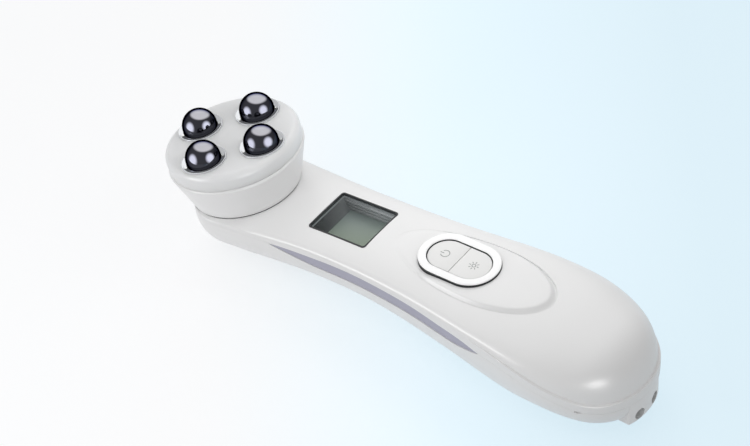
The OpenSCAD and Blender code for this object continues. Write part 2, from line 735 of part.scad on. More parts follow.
module neck_gasket() color("#3c4046") at_head() translate([0, 0, -gasket_t])
  tube(neck_r - 0.35, neck_r - 3, gasket_t);

module head_cup() color("#eceeed") at_head() difference() {
  union() {
    rotate_extrude() polygon([
      [cable_hole_r, 0], [neck_r, 0], [cup_r, cup_h], [cup_r - cup_wall, cup_h],
      [plate_r + 0.25, plate_z], [ledge_r, plate_z], [ledge_r, cup_floor], [cable_hole_r, cup_floor]
    ]);
    translate([0, 0, 1]) diagonals(head_screw_ring) cylinder(r = 2.7, h = plate_z - 1, $fn = hull_fn);
  }
  translate([0, 0, -1]) diagonals(head_screw_ring) cylinder(r = screw_r + rest_gap, h = 4.5, $fn = hull_fn);
  translate([0, 0, plate_z - 3.5]) diagonals(head_screw_ring)
    cylinder(r = screw_r + rest_gap, h = 4.5, $fn = hull_fn);
}

module head_diffuser() color("#eef3f6") at_head() difference() {
  rotate_extrude() polygon(concat(
    [[0, head_h - cap_wall], [cap_r - cap_wall - 0.6, head_h - cap_wall]],
    [[cap_r - cap_wall - 0.6, cup_h - spigot_h], [cup_r - cup_wall - 0.75, cup_h - spigot_h]],
    [[cup_r - cup_wall - 0.3, cup_h + tiny], [cap_r, cup_h + tiny]],
    [for (a = [0 : 10 : 90]) [
      cap_r - cap_round + cap_round * cos(a), head_h - cap_round + cap_round * sin(a)
    ]],
    [[0, head_h]]
  ));
  ball_places() {
    translate([0, 0, head_h - 5]) cylinder(r = ball_hole_r, h = 10);
    translate([0, 0, head_h - 1.2]) cylinder(r = collar_r + 0.05, h = 5);
  }
}

module electrode(angle) color("#c9ccd0") at_head() rotate([0, 0, angle]) translate([ball_ring_r, 0, 0]) {
  translate([0, 0, ball_z]) sphere(d = ball_d);
  translate([0, 0, board_level]) cylinder(r = shoulder_r, h = ball_z - board_level, $fn = hull_fn);
  translate([0, 0, stem_end]) cylinder(r = stem_r, h = ball_z - stem_end, $fn = hull_fn);
}
module collar(angle) color("#f4f6f6") at_head() rotate([0, 0, angle]) translate([ball_ring_r, 0, head_h])
  rotate_extrude() polygon([
    [ball_hole_r - 0.1, -1.2], [collar_r, -1.2], [collar_r, 0.15], [collar_r - 0.15, 0.3],
    [collar_r - 0.4, 0.3], [ball_hole_r - 0.1, -0.3]
  ]);

module electrode_plate() color("#d8dbd6") at_head() translate([0, 0, plate_z]) difference() {
  cylinder(r = plate_r, h = plate_t);
  translate([0, 0, -1]) {
    cylinder(r = cable_hole_r, h = plate_t + 2);
    ball_places() cylinder(r = stem_r + rest_gap, h = plate_t + 2, $fn = hull_fn);
    diagonals(head_screw_ring) cylinder(r = screw_r + screw_clear, h = plate_t + 2, $fn = hull_fn);
  }
}
module electrode_nuts() color("#b9bcc2") at_head() ball_places() translate([0, 0, plate_z - lug_t - nut_h])
  difference() {
    cylinder(r = 2.9, h = nut_h, $fn = 6);
    translate([0, 0, -1]) cylinder(r = stem_r + rest_gap, h = nut_h + 2, $fn = hull_fn);
  }
module electrode_lugs() color("#c9a24a") at_head() ball_places() translate([0, 0, plate_z - lug_t])
  linear_extrude(lug_t) difference() {
    union() {
      circle(r = 2.9);
      translate([-6, -1]) square([5, 2]);
    }
    circle(r = stem_r + rest_gap);
  }
module led_board() color("#e7ece8") at_head() translate([0, 0, board_level]) difference() {
  cylinder(r = plate_r + 0.3, h = board_t);
  translate([0, 0, -1]) {
    cylinder(r = 2, h = board_t + 2, $fn = hull_fn);
    ball_places() cylinder(r = shoulder_r + 0.3, h = board_t + 2, $fn = hull_fn);
    diagonals(head_screw_ring) cylinder(r = screw_r + screw_clear, h = board_t + 2, $fn = hull_fn);
  }
}
led_ring_r = plate_r - 3.4;
module head_leds() color("#f3efc8") at_head() for (k = [0 : led_count - 1])
  rotate([0, 0, (k + 0.5) * 360 / led_count]) translate([led_ring_r - 1.5, -1.4, board_level + board_t])
    cube([3, 2.8, 0.8]);
module head_board_screws() color("#8f949a") at_head() translate([0, 0, board_level + board_t])
  diagonals(head_screw_ring) rotate([180, 0, 0]) screw(board_t + plate_t + 3);
module head_screws() color("#8f949a") at_head() translate([0, 0, -gasket_t - seat_t])
  diagonals(head_screw_ring) screw(gasket_t + seat_t + 3);

function head_point(x, y, z) = [
  neck_x + x * cos(head_tilt) - z * sin(head_tilt), y, neck_z + x * sin(head_tilt) + z * cos(head_tilt)
];
trunk_r = 1.2;
lead_z = plate_z - lug_t - 0.5;
module head_harness() color("#3a3f45") {
  x1 = board_x0 + 1.5;
  z1 = board_top(x1) - board_t - trunk_r;
  wire([
    head_point(0, 0, board_level), head_point(0, 0, 5), head_point(0, 0, 0), head_point(0, 0, -6),
    head_point(3, 0, -9), head_point(8, 0, -10.5), [x1 - 8, 0, z1 - 1.5], [x1 - 2, 0, z1 - 0.2],
    [x1 + 2, 0, z1]
  ], trunk_r, 12);
  for (a = [0 : 90 : 270]) {
    c = cos(a);
    s = sin(a);
    r0 = ball_ring_r - 4.5;
    wire([
      head_point(r0 * c, r0 * s, lead_z), head_point(0.6 * r0 * c, 0.6 * r0 * s, lead_z - 0.3),
      head_point(0.3 * r0 * c, 0.3 * r0 * s, lead_z - 1), head_point(0.5 * c, 0.5 * s, lead_z - 1.8)
    ], 0.5);
  }
}

// ---------------------------------------------------------------- display
panel_l = lcd_l + 2.2;
panel_w = lcd_w + 2.2;
panel_low = -lcd_depth - lcd_panel_t;
ledge_in = 0.5;
glass_in = 0.2;
module lcd_frame() color("#1d2126") at_lcd() difference() {
  translate([0, 0, -lcd_depth]) linear_extrude(lcd_depth - glass_in)
    rounded_rect(lcd_l + 2 * lcd_frame_t, lcd_w + 2 * lcd_frame_t, 1.15);
  translate([0, 0, -glass_in - lcd_glass_t - rest_gap]) linear_extrude(5)
    rounded_rect(lcd_l, lcd_w, 0.8);
  translate([0, 0, -lcd_depth - 1]) linear_extrude(12)
    rounded_rect(lcd_l - 2 * ledge_in, lcd_w - 2 * ledge_in, 0.6);
}
module lcd_window() color("#c8d4d6") at_lcd() translate([0, 0, -glass_in - lcd_glass_t])
  linear_extrude(lcd_glass_t) rounded_rect(lcd_l - 2 * rest_gap, lcd_w - 2 * rest_gap, 0.75);
module lcd_panel() color("#8e9e8c") at_lcd() translate([-panel_l / 2, -panel_w / 2, panel_low])
  cube([panel_l, panel_w, lcd_panel_t - rest_gap]);
module lcd_backlight() color("#eef0e8") at_lcd()
  translate([-panel_l / 2 + 2.4, -panel_w / 2 + 0.5, panel_low - backlight_t])
    cube([panel_l - 4.8, panel_w - 1, backlight_t]);
module lcd_connectors() color("#c26a6a") intersection() {
  at_lcd() for (side = [-1, 1])
    translate([side * (panel_l / 2 - 1.1) - 0.7, -panel_w / 2 + 1, panel_low - 4])
      cube([1.4, panel_w - 2, 4]);
  on_board([lcd_x, 0]) translate([-20, -20, 0]) cube([40, 40, 10]);
}

// ---------------------------------------------------------------- keys
key_low = -1.55;
flange_t = 0.95;
flange_low = key_low - flange_t;
key_split = 0.35;
stem_low = -4;
plunger_low = -7.2;
press_u = 6;
switch_h = 4.3;
switch_well_r = 1.8;
module key_ring() color("#f6f8f8") at_keys() translate([0, 0, -ring_seat]) linear_extrude(ring_seat + ring_h)
  difference() {
    stadium(ring_l, ring_out_w);
    stadium(key_l + 2 * key_gap, key_w + 2 * key_gap);
  }
module half_plane(side) translate([side > 0 ? key_split / 2 : -40 - key_split / 2, -20]) square([40, 40]);
module key_half(side) color("#dfe2e4") at_keys() {
  translate([0, 0, key_low]) linear_extrude(key_rise - key_low) intersection() {
    stadium(key_l, key_w);
    half_plane(side);
  }
  translate([0, 0, flange_low]) linear_extrude(flange_t) intersection() {
    stadium(flange_l, flange_w);
    half_plane(side);
  }
  translate([side * press_u, 0, stem_low]) cylinder(r = 1.7, h = flange_low - stem_low + 0.5, $fn = hull_fn);
}
module plunger(side) color("#4a4f55") at_keys() translate([side * press_u, 0, plunger_low])
  cylinder(r = switch_well_r - slide_gap, h = stem_low - plunger_low, $fn = hull_fn);
module key_switch(side) color("#2b2e33") at_keys() translate([side * press_u, 0, key_board_z]) difference() {
  translate([-3, -3, 0]) cube([6, 6, switch_h]);
  translate([0, 0, switch_h - 2.5]) cylinder(r = switch_well_r, h = 5, $fn = hull_fn);
}
module key_board() color("#3f7a4c") difference() {
  at_keys() translate([-key_board_l / 2, -key_board_w / 2, key_board_z - board_t])
    cube([key_board_l, key_board_w, board_t]);
  key_posts(screw_r + screw_clear, key_board_z - 4, key_board_z + 4);
}
module key_board_screws() color("#8f949a") at_keys() for (side = [-1, 1])
  translate([side * key_post_u, 0, key_board_z - board_t]) intersection() {
    screw(board_t + 4);
    translate([0, 0, -board_drop - key_board_z + board_t + rest_gap])
      cylinder(r = 2 * screw_head_r, h = board_drop);
  }
module key_ribbon() color("#c8b06a") at_keys() translate([-3, 4.4, -board_drop])
  cube([6, 0.5, board_drop + key_board_z - board_t]);

// ---------------------------------------------------------------- side strips
module side_strip_left() color("#a3a4b6") strip_form(1, 0, strip_sink, strip_sink + strip_t);
module side_strip_right() color("#a3a4b6") strip_form(-1, 0, strip_sink, strip_sink + strip_t);

// ---------------------------------------------------------------- main board and battery
board_u0 = (board_x0 - key_x) / cos(key_tilt);
module main_board() color("#2f6b46") difference() {
  at_keys() translate([board_u0, -board_w / 2, -board_drop - board_t]) cube([board_l, board_w, board_t]);
  for (p = board_posts) on_board(p) translate([0, 0, -3])
    cylinder(r = screw_r + screw_clear, h = 6, $fn = hull_fn);
}
module board_screws() color("#8f949a") for (p = board_posts)
  on_board(p) translate([0, 0, -board_t]) screw(board_t + 4);
chip_l = 8;
chip_h = 1.2;
chip_place = [22, -9.5];
coil_r = 4;
coil_h = 4.6;
coil_place = [27.5, 5.5];
buzzer_r = 3.2;
buzzer_h = 2.6;
buzzer_place = [34.6, -0.6];
module by_keys(p) at_keys() translate([p[0], p[1], -board_drop]) children();
module controller_chip() color("#23262a") by_keys(chip_place) cube([chip_l, chip_l, chip_h]);
module output_coil() color("#8a4f2a") by_keys(coil_place) cylinder(r = coil_r, h = coil_h);
module buzzer() color("#1c1e21") by_keys(buzzer_place) tube(buzzer_r, 0.8, buzzer_h);

module battery_cell() color("#b7bcc4") at_keys()
  translate([battery_u, -battery_w / 2, battery_top - battery_t]) cube([battery_l, battery_w, battery_t]);
module battery_foam() color("#4d5157") at_keys()
  translate([battery_u + 4, -7, foam_low]) cube([battery_l - 8, 14, foam_t]);
module battery_leads() color("#20242a") at_keys() for (side = [-1, 1]) {
  u0 = battery_u + battery_l;
  u1 = board_u0 + board_l - 3;
  v = side * 6.5;
  wire([
    [u0, v, battery_top - 3], [u0 + 1, v, battery_top - 3], [u0 + 1.9, v, battery_top - 2],
    [u0 + 2, v, battery_top - 0.6], [u0 + 1.2, v, battery_top + 0.7], [u0 - 0.5, v, battery_top + 1.1],
    [u1, v, -board_drop - board_t - 0.5], [u1 - 2, v, -board_drop - board_t - 0.5]
  ], 0.45);
}

top_shell();
bottom_shell();
neck_gasket();
head_cup();
head_diffuser();
electrode_plate();
led_board();
head_leds();
head_screws();
electrode(180);  // electrode_front
electrode(0);  // electrode_rear
electrode(90);  // electrode_left
electrode(270);  // electrode_right
collar(180);  // collar_front
collar(0);  // collar_rear
collar(90);  // collar_left
collar(270);  // collar_right
electrode_nuts();
electrode_lugs();
head_board_screws();
head_harness();
lcd_frame();
lcd_window();
lcd_panel();
lcd_backlight();
lcd_connectors();
key_ring();
key_half(-1);  // power_key
key_half(1);  // light_key
plunger(-1);  // power_plunger
plunger(1);  // light_plunger
key_switch(-1);  // power_switch
key_switch(1);  // light_switch
key_board();
key_board_screws();
key_ribbon();
side_strip_left();
side_strip_right();
main_board();
controller_chip();
output_coil();
buzzer();
battery_cell();
battery_foam();
battery_leads();
socket_block();
charge_pin(1);  // charge_pin_left
charge_pin(-1);  // charge_pin_right
charge_leads();
board_screws();
shell_screws();
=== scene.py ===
"""Dressed scene of a handheld facial toning device lying on a pale studio table.

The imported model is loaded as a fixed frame. Each sub-assembly class then builds
its finer pieces in the same frame, gives every solid a procedural finish, and
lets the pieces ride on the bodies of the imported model.
"""

from __future__ import annotations

import json
import logging
import math
from collections.abc import Sequence
from dataclasses import dataclass, field
from enum import Enum

import bpy
from mathutils import Matrix, Vector
from mathutils.bvhtree import BVHTree
from mathutils.interpolate import poly_3d_calc

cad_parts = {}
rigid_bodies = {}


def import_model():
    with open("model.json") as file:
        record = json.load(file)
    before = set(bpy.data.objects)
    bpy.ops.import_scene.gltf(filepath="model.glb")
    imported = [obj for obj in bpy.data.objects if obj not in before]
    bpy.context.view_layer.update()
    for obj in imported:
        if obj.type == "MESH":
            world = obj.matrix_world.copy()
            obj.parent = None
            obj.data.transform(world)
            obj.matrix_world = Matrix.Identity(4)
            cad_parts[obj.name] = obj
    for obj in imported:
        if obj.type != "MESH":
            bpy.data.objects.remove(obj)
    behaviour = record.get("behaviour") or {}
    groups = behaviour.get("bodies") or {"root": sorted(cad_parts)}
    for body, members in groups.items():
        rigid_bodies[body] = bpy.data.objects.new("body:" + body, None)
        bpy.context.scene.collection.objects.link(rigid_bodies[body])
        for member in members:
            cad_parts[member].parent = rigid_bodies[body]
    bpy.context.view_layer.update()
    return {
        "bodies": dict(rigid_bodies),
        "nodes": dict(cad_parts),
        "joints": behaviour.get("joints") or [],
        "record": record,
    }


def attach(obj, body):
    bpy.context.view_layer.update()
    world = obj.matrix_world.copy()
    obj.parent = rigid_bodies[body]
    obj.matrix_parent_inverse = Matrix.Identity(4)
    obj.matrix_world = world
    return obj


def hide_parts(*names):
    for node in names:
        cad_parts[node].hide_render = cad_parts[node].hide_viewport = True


LOG = logging.getLogger("toning_device")
MM = 0.001
Point = tuple[float, float, float]
Loop = list[tuple[float, float]]
Color = tuple[float, float, float, float]
EDGE_TURNS = (0.0, 0.4, 0.8, 1.2, math.pi / 2)


class Body(Enum):
    """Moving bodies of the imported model."""

    HOUSING = "housing"
    POWER = "power_button"
    LIGHT = "light_button"


class Side(Enum):
    """Sides of the handle, as the sign of Y."""

    LEFT = 1
    RIGHT = -1


# ------------------------------------------------------------------ shader tools
def srgb(red: float, green: float, blue: float) -> Color:
    """Turn a colour of 0 to 255 as seen on a screen into a linear shader colour."""

    def lin(value: float) -> float:
        """Linear value of one channel."""
        part = value / 255.0
        return part / 12.92 if part <= 0.04045 else ((part + 0.055) / 1.055) ** 2.4

    return (lin(red), lin(green), lin(blue), 1.0)


class Shader:
    """A node tree of one material, with short calls for its usual nodes."""

    def __init__(self, name: str) -> None:
        """Start an empty material.

        Args:
            name: Name of the material.
        """
        self.material = bpy.data.materials.new(name)
        self.material.use_nodes = True
        self.tree = self.material.node_tree
        self.tree.nodes.clear()
        self.output = self.add("ShaderNodeOutputMaterial")
        self.surface = self.add("ShaderNodeBsdfPrincipled")
        self.link(self.surface.outputs[0], self.output.inputs["Surface"])
        self.place = self.add("ShaderNodeTexCoord").outputs["Object"]

    def add(self, kind: str, **settings: object) -> bpy.types.Node:
        """Add a node and set its plain settings.

        Args:
            kind: Blender's type name of the node.
            settings: Properties of the node.

        Returns:
            The new node.
        """
        node = self.tree.nodes.new(kind)
        for key, value in settings.items():
            setattr(node, key, value)
        return node

    def link(self, start: bpy.types.NodeSocket, end: bpy.types.NodeSocket) -> None:
        """Join two sockets."""
        self.tree.links.new(start, end)

    def set(self, **values: object) -> None:
        """Set plain values on the surface shader, with underscores for spaces."""
        for key, value in values.items():
            self.surface.inputs[key.replace("_", " ")].default_value = value

    def noise(self, scale: float, detail: float = 3.0) -> bpy.types.NodeSocket:
        """A noise pattern on the piece's own coordinates.

        Args:
            scale: Number of features per metre.
            detail: Levels of detail.

        Returns:
            The socket with the grey value.
        """
        node = self.add("ShaderNodeTexNoise")
        node.inputs["Scale"].default_value = scale
        node.inputs["Detail"].default_value = detail
        self.link(self.place, node.inputs["Vector"])
        return node.outputs["Fac"]

    def spread(self, value: bpy.types.NodeSocket, low: float, high: float,
               start: float = 0.3, end: float = 0.7) -> bpy.types.NodeSocket:
        """Map a grey value onto a range.

        Args:
            value: Socket with the grey value.
            low: Result at the start.
            high: Result at the end.
            start: Grey value that gives low.
            end: Grey value that gives high.

        Returns:
            The socket with the result.
        """
        node = self.add("ShaderNodeMapRange")
        self.link(value, node.inputs["Value"])
        node.inputs["From Min"].default_value = start
        node.inputs["From Max"].default_value = end
        node.inputs["To Min"].default_value = low
        node.inputs["To Max"].default_value = high
        return node.outputs["Result"]

    def math(self, what: str, first: object, second: object = 0.0) -> bpy.types.NodeSocket:
        """One arithmetic step between sockets or numbers.

        Args:
            what: Name of the operation, such as MULTIPLY.
            first: Socket or number.
            second: Socket or number.

        Returns:
            The socket with the result.
        """
        node = self.add("ShaderNodeMath", operation=what)
        for slot, value in zip(node.inputs, (first, second)):
            if isinstance(value, (int, float)):
                slot.default_value = value
            else:
                self.link(value, slot)
        return node.outputs[0]

    def axis(self, name: str) -> bpy.types.NodeSocket:
        """One of the piece's own coordinates, X, Y or Z, in metres."""
        node = self.add("ShaderNodeSeparateXYZ")
        self.link(self.place, node.inputs[0])
        return node.outputs[name]

    def blend(self, share: bpy.types.NodeSocket, first: object, second: object) -> bpy.types.NodeSocket:
        """Mix two colours.

        Args:
            share: Socket with the share of the second colour.
            first: Colour or socket at 0.
            second: Colour or socket at 1.

        Returns:
            The socket with the mixed colour.
        """
        node = self.add("ShaderNodeMix", data_type="RGBA")
        self.link(share, node.inputs[0])
        for slot, value in ((node.inputs[6], first), (node.inputs[7], second)):
            if isinstance(value, bpy.types.NodeSocket):
                self.link(value, slot)
            else:
                slot.default_value = value
        return node.outputs[2]

    def relief(self, height: bpy.types.NodeSocket, depth: float, strength: float = 1.0) -> None:
        """Give the surface a fine relief.

        Args:
            height: Socket with the height, 0 to 1.
            depth: Depth of the relief in metres.
            strength: Share of the relief that shows.
        """
        node = self.add("ShaderNodeBump")
        node.inputs["Strength"].default_value = strength
        node.inputs["Distance"].default_value = depth
        self.link(height, node.inputs["Height"])
        self.link(node.outputs[0], self.surface.inputs["Normal"])

    def colour(self, value: bpy.types.NodeSocket) -> None:
        """Drive the surface's base colour."""
        self.link(value, self.surface.inputs["Base Color"])

    def mottle(self, scale: float, detail: float, dark: Color, light: Color) -> None:
        """Let the base colour wander between two colours."""
        self.colour(self.blend(self.spread(self.noise(scale, detail), 0.0, 1.0), dark, light))

    def wipe(self, scale: float, detail: float, low: float, high: float) -> None:
        """Let the roughness wander between two values."""
        self.link(self.spread(self.noise(scale, detail), low, high), self.surface.inputs["Roughness"])


def shade(color: Sequence[float], factor: float) -> Color:
    """Make a colour lighter or darker by a factor."""
    return (min(1.0, color[0] * factor), min(1.0, color[1] * factor), min(1.0, color[2] * factor), 1.0)


# ------------------------------------------------------------------ finishes
@dataclass(frozen=True)
class Finish:
    """A finish of the device.

    Attributes:
        name: Name of the material.
    """

    name: str

    def dress(self, work: Shader) -> None:
        """Set the shader up."""

    def build(self) -> bpy.types.Material:
        """Build the material.

        Returns:
            The finished material.
        """
        work = Shader(self.name)
        self.dress(work)
        return work.material


@dataclass(frozen=True)
class MouldedPlastic(Finish):
    """Opaque injection-moulded plastic.

    Attributes:
        color: Linear base colour.
        gloss: Roughness of the skin, 0 for a mirror.
        grain: Size of the skin's texture in metres.
        grain_depth: Depth of that texture in metres.
        drift: Share by which the colour wanders over the piece.
        coat: Weight of a clear glossy layer.
        glow: Weight of light that enters the plastic.
    """

    color: Color
    gloss: float = 0.3
    grain: float = 0.0009
    grain_depth: float = 0.000004
    drift: float = 0.02
    coat: float = 0.0
    glow: float = 0.0

    def dress(self, work: Shader) -> None:
        """Set the shader up."""
        work.mottle(28.0, 2.0, shade(self.color, 1.0 - self.drift), shade(self.color, 1.0 + self.drift))
        work.wipe(90.0, 3.0, self.gloss * 0.96, self.gloss * 1.05)
        work.relief(work.noise(1.0 / self.grain, 2.0), self.grain_depth, 0.4)
        work.set(IOR=1.49)
        if self.coat:
            work.set(Coat_Weight=self.coat, Coat_Roughness=0.06)
        if self.glow:
            work.set(Subsurface_Weight=self.glow, Subsurface_Scale=0.002)
            work.set(Subsurface_Radius=(1.0, 0.95, 0.9))


@dataclass(frozen=True)
class FrostedCap(Finish):
    """Milky plastic that spreads the light of the diodes below it.

    Attributes:
        color: Linear base colour.
        depth: Distance that light travels in the plastic, in metres.
    """

    color: Color
    depth: float = 0.004

    def dress(self, work: Shader) -> None:
        """Set the shader up."""
        work.mottle(60.0, 2.0, shade(self.color, 0.975), shade(self.color, 1.02))
        work.wipe(400.0, 3.0, 0.3, 0.36)
        work.relief(work.noise(2600.0, 2.0), 0.0000004, 0.4)
        work.set(Subsurface_Weight=0.55, Subsurface_Scale=self.depth)
        work.set(Subsurface_Radius=(1.0, 1.0, 1.05), IOR=1.5)


@dataclass(frozen=True)
class PolishedMetal(Finish):
    """Plated or bare metal.

    Attributes:
        color: Linear base colour.
        rim: Linear colour that the metal takes near its outline.
        gloss: Roughness.
        streak: Size of the polishing marks in metres.
        depth: Depth of the polishing marks in metres.
    """

    color: Color
    rim: Color = (1.0, 1.0, 1.0, 1.0)
    gloss: float = 0.05
    streak: float = 0.0012
    depth: float = 0.0000002

    def dress(self, work: Shader) -> None:
        """Set the shader up."""
        work.mottle(140.0, 3.0, shade(self.color, 0.95), shade(self.color, 1.05))
        work.wipe(1.0 / self.streak, 4.0, self.gloss * 0.8, self.gloss * 1.3)
        work.relief(work.noise(0.5 / self.streak, 3.0), self.depth, 0.3)
        work.set(Metallic=1.0, Specular_Tint=self.rim)


@dataclass(frozen=True)
class BrightTrim(Finish):
    """Silver-white plated plastic of the collars.

    Attributes:
        color: Linear base colour.
        metal: Metallic share.
        gloss: Roughness.
    """

    color: Color
    metal: float = 0.7
    gloss: float = 0.12

    def dress(self, work: Shader) -> None:
        """Set the shader up."""
        work.mottle(200.0, 3.0, shade(self.color, 0.96), shade(self.color, 1.03))
        work.wipe(900.0, 3.0, self.gloss * 0.8, self.gloss * 1.3)
        work.relief(work.noise(2200.0, 2.0), 0.0000003, 0.4)
        work.set(Metallic=self.metal)


@dataclass(frozen=True)
class ClearPane(Finish):
    """Thin clear plastic of the display window.

    Attributes:
        color: Linear tint.
        veil: Share of the light that the pane keeps.
    """

    color: Color
    veil: float = 0.16

    def dress(self, work: Shader) -> None:
        """Set the shader up."""
        work.mottle(120.0, 3.0, shade(self.color, 0.9), shade(self.color, 1.1))
        work.wipe(300.0, 3.0, 0.03, 0.08)
        work.set(Alpha=self.veil, IOR=1.49)


@dataclass(frozen=True)
class WellPlasticWithPaintedShade(Finish):
    """Smoky liner of the display well, with painted shade that makes it darkest at its head and near corner.

    Attributes:
        dark: Linear colour of the painted shade in the dark corner.
        light: Linear colour in the light corner, where the painted shade ends.
        middle: Middle of the well in metres.
        reach: Distance from the middle to either colour in metres.
    """

    dark: Color
    light: Color
    middle: tuple[float, float]
    reach: float = 0.010

    def dress(self, work: Shader) -> None:
        """Set the shader up."""
        # Painted shade: the colour sweeps from dark at the head end and near corner to light at the far tail
        # corner.
        along = work.math("SUBTRACT", work.axis("X"), self.middle[0])
        across = work.math("SUBTRACT", work.axis("Y"), self.middle[1])
        sweep = work.math("ADD", work.math("MULTIPLY", along, 0.75), work.math("MULTIPLY", across, 0.55))
        share = work.spread(sweep, 0.0, 1.0, -self.reach, self.reach)
        shade_noise = work.math("MULTIPLY", work.noise(700.0, 3.0), 0.16)
        work.colour(work.blend(work.math("ADD", share, shade_noise), self.dark, self.light))
        work.wipe(900.0, 2.0, 0.28, 0.4)
        work.relief(work.noise(2500.0, 2.0), 0.000002, 0.4)
        work.set(Specular_IOR_Level=0.2)


@dataclass(frozen=True)
class DisplayFilm(Finish):
    """Reflective liquid-crystal film, greener towards its near end.

    Attributes:
        near: Linear colour at the tail and near corner.
        far: Linear colour at the head and far corner.
        middle: Middle of the panel in metres.
    """

    near: Color
    far: Color
    middle: tuple[float, float]

    def dress(self, work: Shader) -> None:
        """Set the shader up."""
        along = work.math("SUBTRACT", work.axis("X"), self.middle[0])
        across = work.math("SUBTRACT", self.middle[1], work.axis("Y"))
        sweep = work.math("ADD", work.math("MULTIPLY", along, 0.35), across)
        share = work.spread(sweep, 0.0, 1.0, -0.008, 0.008)
        base = work.blend(share, self.far, self.near)
        grain = work.spread(work.noise(5200.0, 1.0), 0.0, 0.12)
        work.colour(work.blend(grain, base, shade(self.near, 0.6)))
        work.wipe(800.0, 2.0, 0.3, 0.42)
        work.relief(work.noise(4200.0, 1.0), 0.000003, 0.4)


@dataclass(frozen=True)
class Laminate(Finish):
    """Circuit board with faint tracks under its solder mask.

    Attributes:
        mask: Linear colour of the mask.
        track: Linear colour over the copper.
        pitch: Distance between tracks in metres.
    """

    mask: Color
    track: Color
    pitch: float = 0.0026

    def dress(self, work: Shader) -> None:
        """Set the shader up."""
        cell = work.add("ShaderNodeTexVoronoi", distance="MANHATTAN", feature="DISTANCE_TO_EDGE")
        cell.inputs["Scale"].default_value = 1.0 / self.pitch
        work.link(work.place, cell.inputs["Vector"])
        lane = work.spread(cell.outputs["Distance"], 1.0, 0.0, 0.03, 0.09)
        work.colour(work.blend(lane, self.mask, self.track))
        work.wipe(600.0, 3.0, 0.3, 0.45)
        work.relief(lane, 0.00002, 0.6)


@dataclass(frozen=True)
class Ribbed(Finish):
    """A piece with a regular line pattern, such as wound wire, foil or ribbon.

    Attributes:
        color: Linear colour on the ribs.
        groove: Linear colour between the ribs.
        axis: Coordinate that crosses the ribs.
        pitch: Distance between ribs in metres.
        metal: Metallic share.
        gloss: Roughness.
        depth: Depth of the grooves in metres.
    """

    color: Color
    groove: Color
    axis: str = "Z"
    pitch: float = 0.0005
    metal: float = 0.0
    gloss: float = 0.4
    depth: float = 0.00004

    def dress(self, work: Shader) -> None:
        """Set the shader up."""
        turn = work.math("MULTIPLY", work.axis(self.axis), 2.0 * math.pi / self.pitch)
        wave = work.spread(work.math("SINE", turn), 0.0, 1.0, -1.0, 1.0)
        work.colour(work.blend(wave, self.groove, self.color))
        work.wipe(500.0, 3.0, self.gloss * 0.85, self.gloss * 1.15)
        work.relief(wave, self.depth, 0.7)
        work.set(Metallic=self.metal)


@dataclass(frozen=True)
class TableFinish(Finish):
    """Seamless table whose paint is darker towards the tail as painted shade, and which glows where it is seen, a
    painted light that also lightens the device's cast shadow.

    Attributes:
        paint_head: Linear colour that lights the head.
        shaded_paint_tail: Darker linear colour that lights the tail, painted shade that bounces less light onto it.
        white: Linear colour of the painted glow that is seen on the head's side.
        blue: Linear colour of the painted glow that is seen on the tail's side, tinted like the backdrop.
        seen: Share of the painted glow in what is seen, which lightens the table and the cast shadow on it.
        way: Plan direction along which the colours change.
        tint_span: Places along it, in metres, between which the seen colour changes.
        paint_span: The same for the colour that lights.
    """

    name: str = "studio_table"
    paint_head: Color = (0.93, 0.93, 0.94, 1.0)
    shaded_paint_tail: Color = (0.62, 0.63, 0.64, 1.0)
    white: Color = (1.12, 1.13, 1.14, 1.0)
    blue: Color = (0.92, 1.15, 1.27, 1.0)
    seen: float = 0.6
    way: tuple[float, float] = (0.797, 0.602)
    tint_span: tuple[float, float] = (-0.075, 0.03)
    paint_span: tuple[float, float] = (0.0, 0.1)

    def dress(self, work: Shader) -> None:
        """Set the shader up."""
        along = work.math("MULTIPLY", work.axis("X"), self.way[0])
        place = work.math("ADD", along, work.math("MULTIPLY", work.axis("Y"), self.way[1]))
        share = work.spread(place, 0.0, 1.0, *self.tint_span)
        share.node.interpolation_type = "SMOOTHSTEP"
        mottled = work.spread(work.noise(9.0, 2.0), 0.0, 0.015)
        # Painted shade: the paint darkens towards the tail, so the device's tail gets less bounced light.
        far = work.spread(place, 0.0, 1.0, *self.paint_span)
        paint = work.blend(far, self.paint_head, self.shaded_paint_tail)
        work.colour(work.blend(mottled, paint, shade(self.shaded_paint_tail, 0.9)))
        work.set(Roughness=0.85, Specular_IOR_Level=0.1)
        # Painted light: camera, glossy and transmission rays see an emitted glow, tinted white to blue like the
        # backdrop, that lightens the table and the device's cast shadow.
        glow = work.add("ShaderNodeEmission")
        work.link(work.blend(share, self.white, self.blue), glow.inputs["Color"])
        ray = work.add("ShaderNodeLightPath")
        seen = work.math("ADD", ray.outputs["Is Camera Ray"], ray.outputs["Is Transmission Ray"])
        seen = work.math("ADD", seen, ray.outputs["Is Glossy Ray"])
        mix = work.add("ShaderNodeMixShader")
        work.link(work.math("MULTIPLY", work.math("MINIMUM", seen, 1.0), self.seen), mix.inputs["Fac"])
        work.link(work.surface.outputs[0], mix.inputs[1])
        work.link(glow.outputs[0], mix.inputs[2])
        work.link(mix.outputs[0], work.output.inputs["Surface"])


# ------------------------------------------------------------------ mesh tools
def new_object(name: str, verts: Sequence[Sequence[float]], faces: Sequence[Sequence[int]],
               place: Matrix | None = None) -> bpy.types.Object:
    """Make a mesh object from millimetres.

    Args:
        name: Name of the piece.
        verts: Points in millimetres.
        faces: Corner numbers of each face, seen anticlockwise from outside.
        place: Frame that the points are given in, in millimetres.

    Returns:
        The new object at the origin, linked to the scene.
    """
    mesh = bpy.data.meshes.new(name)
    mesh.from_pydata([Vector(v) for v in verts], [], [list(f) for f in faces])
    mesh.transform(Matrix.Scale(MM, 4) @ (place or Matrix.Identity(4)))
    mesh.update()
    item = bpy.data.objects.new(name, mesh)
    bpy.context.scene.collection.objects.link(item)
    return item


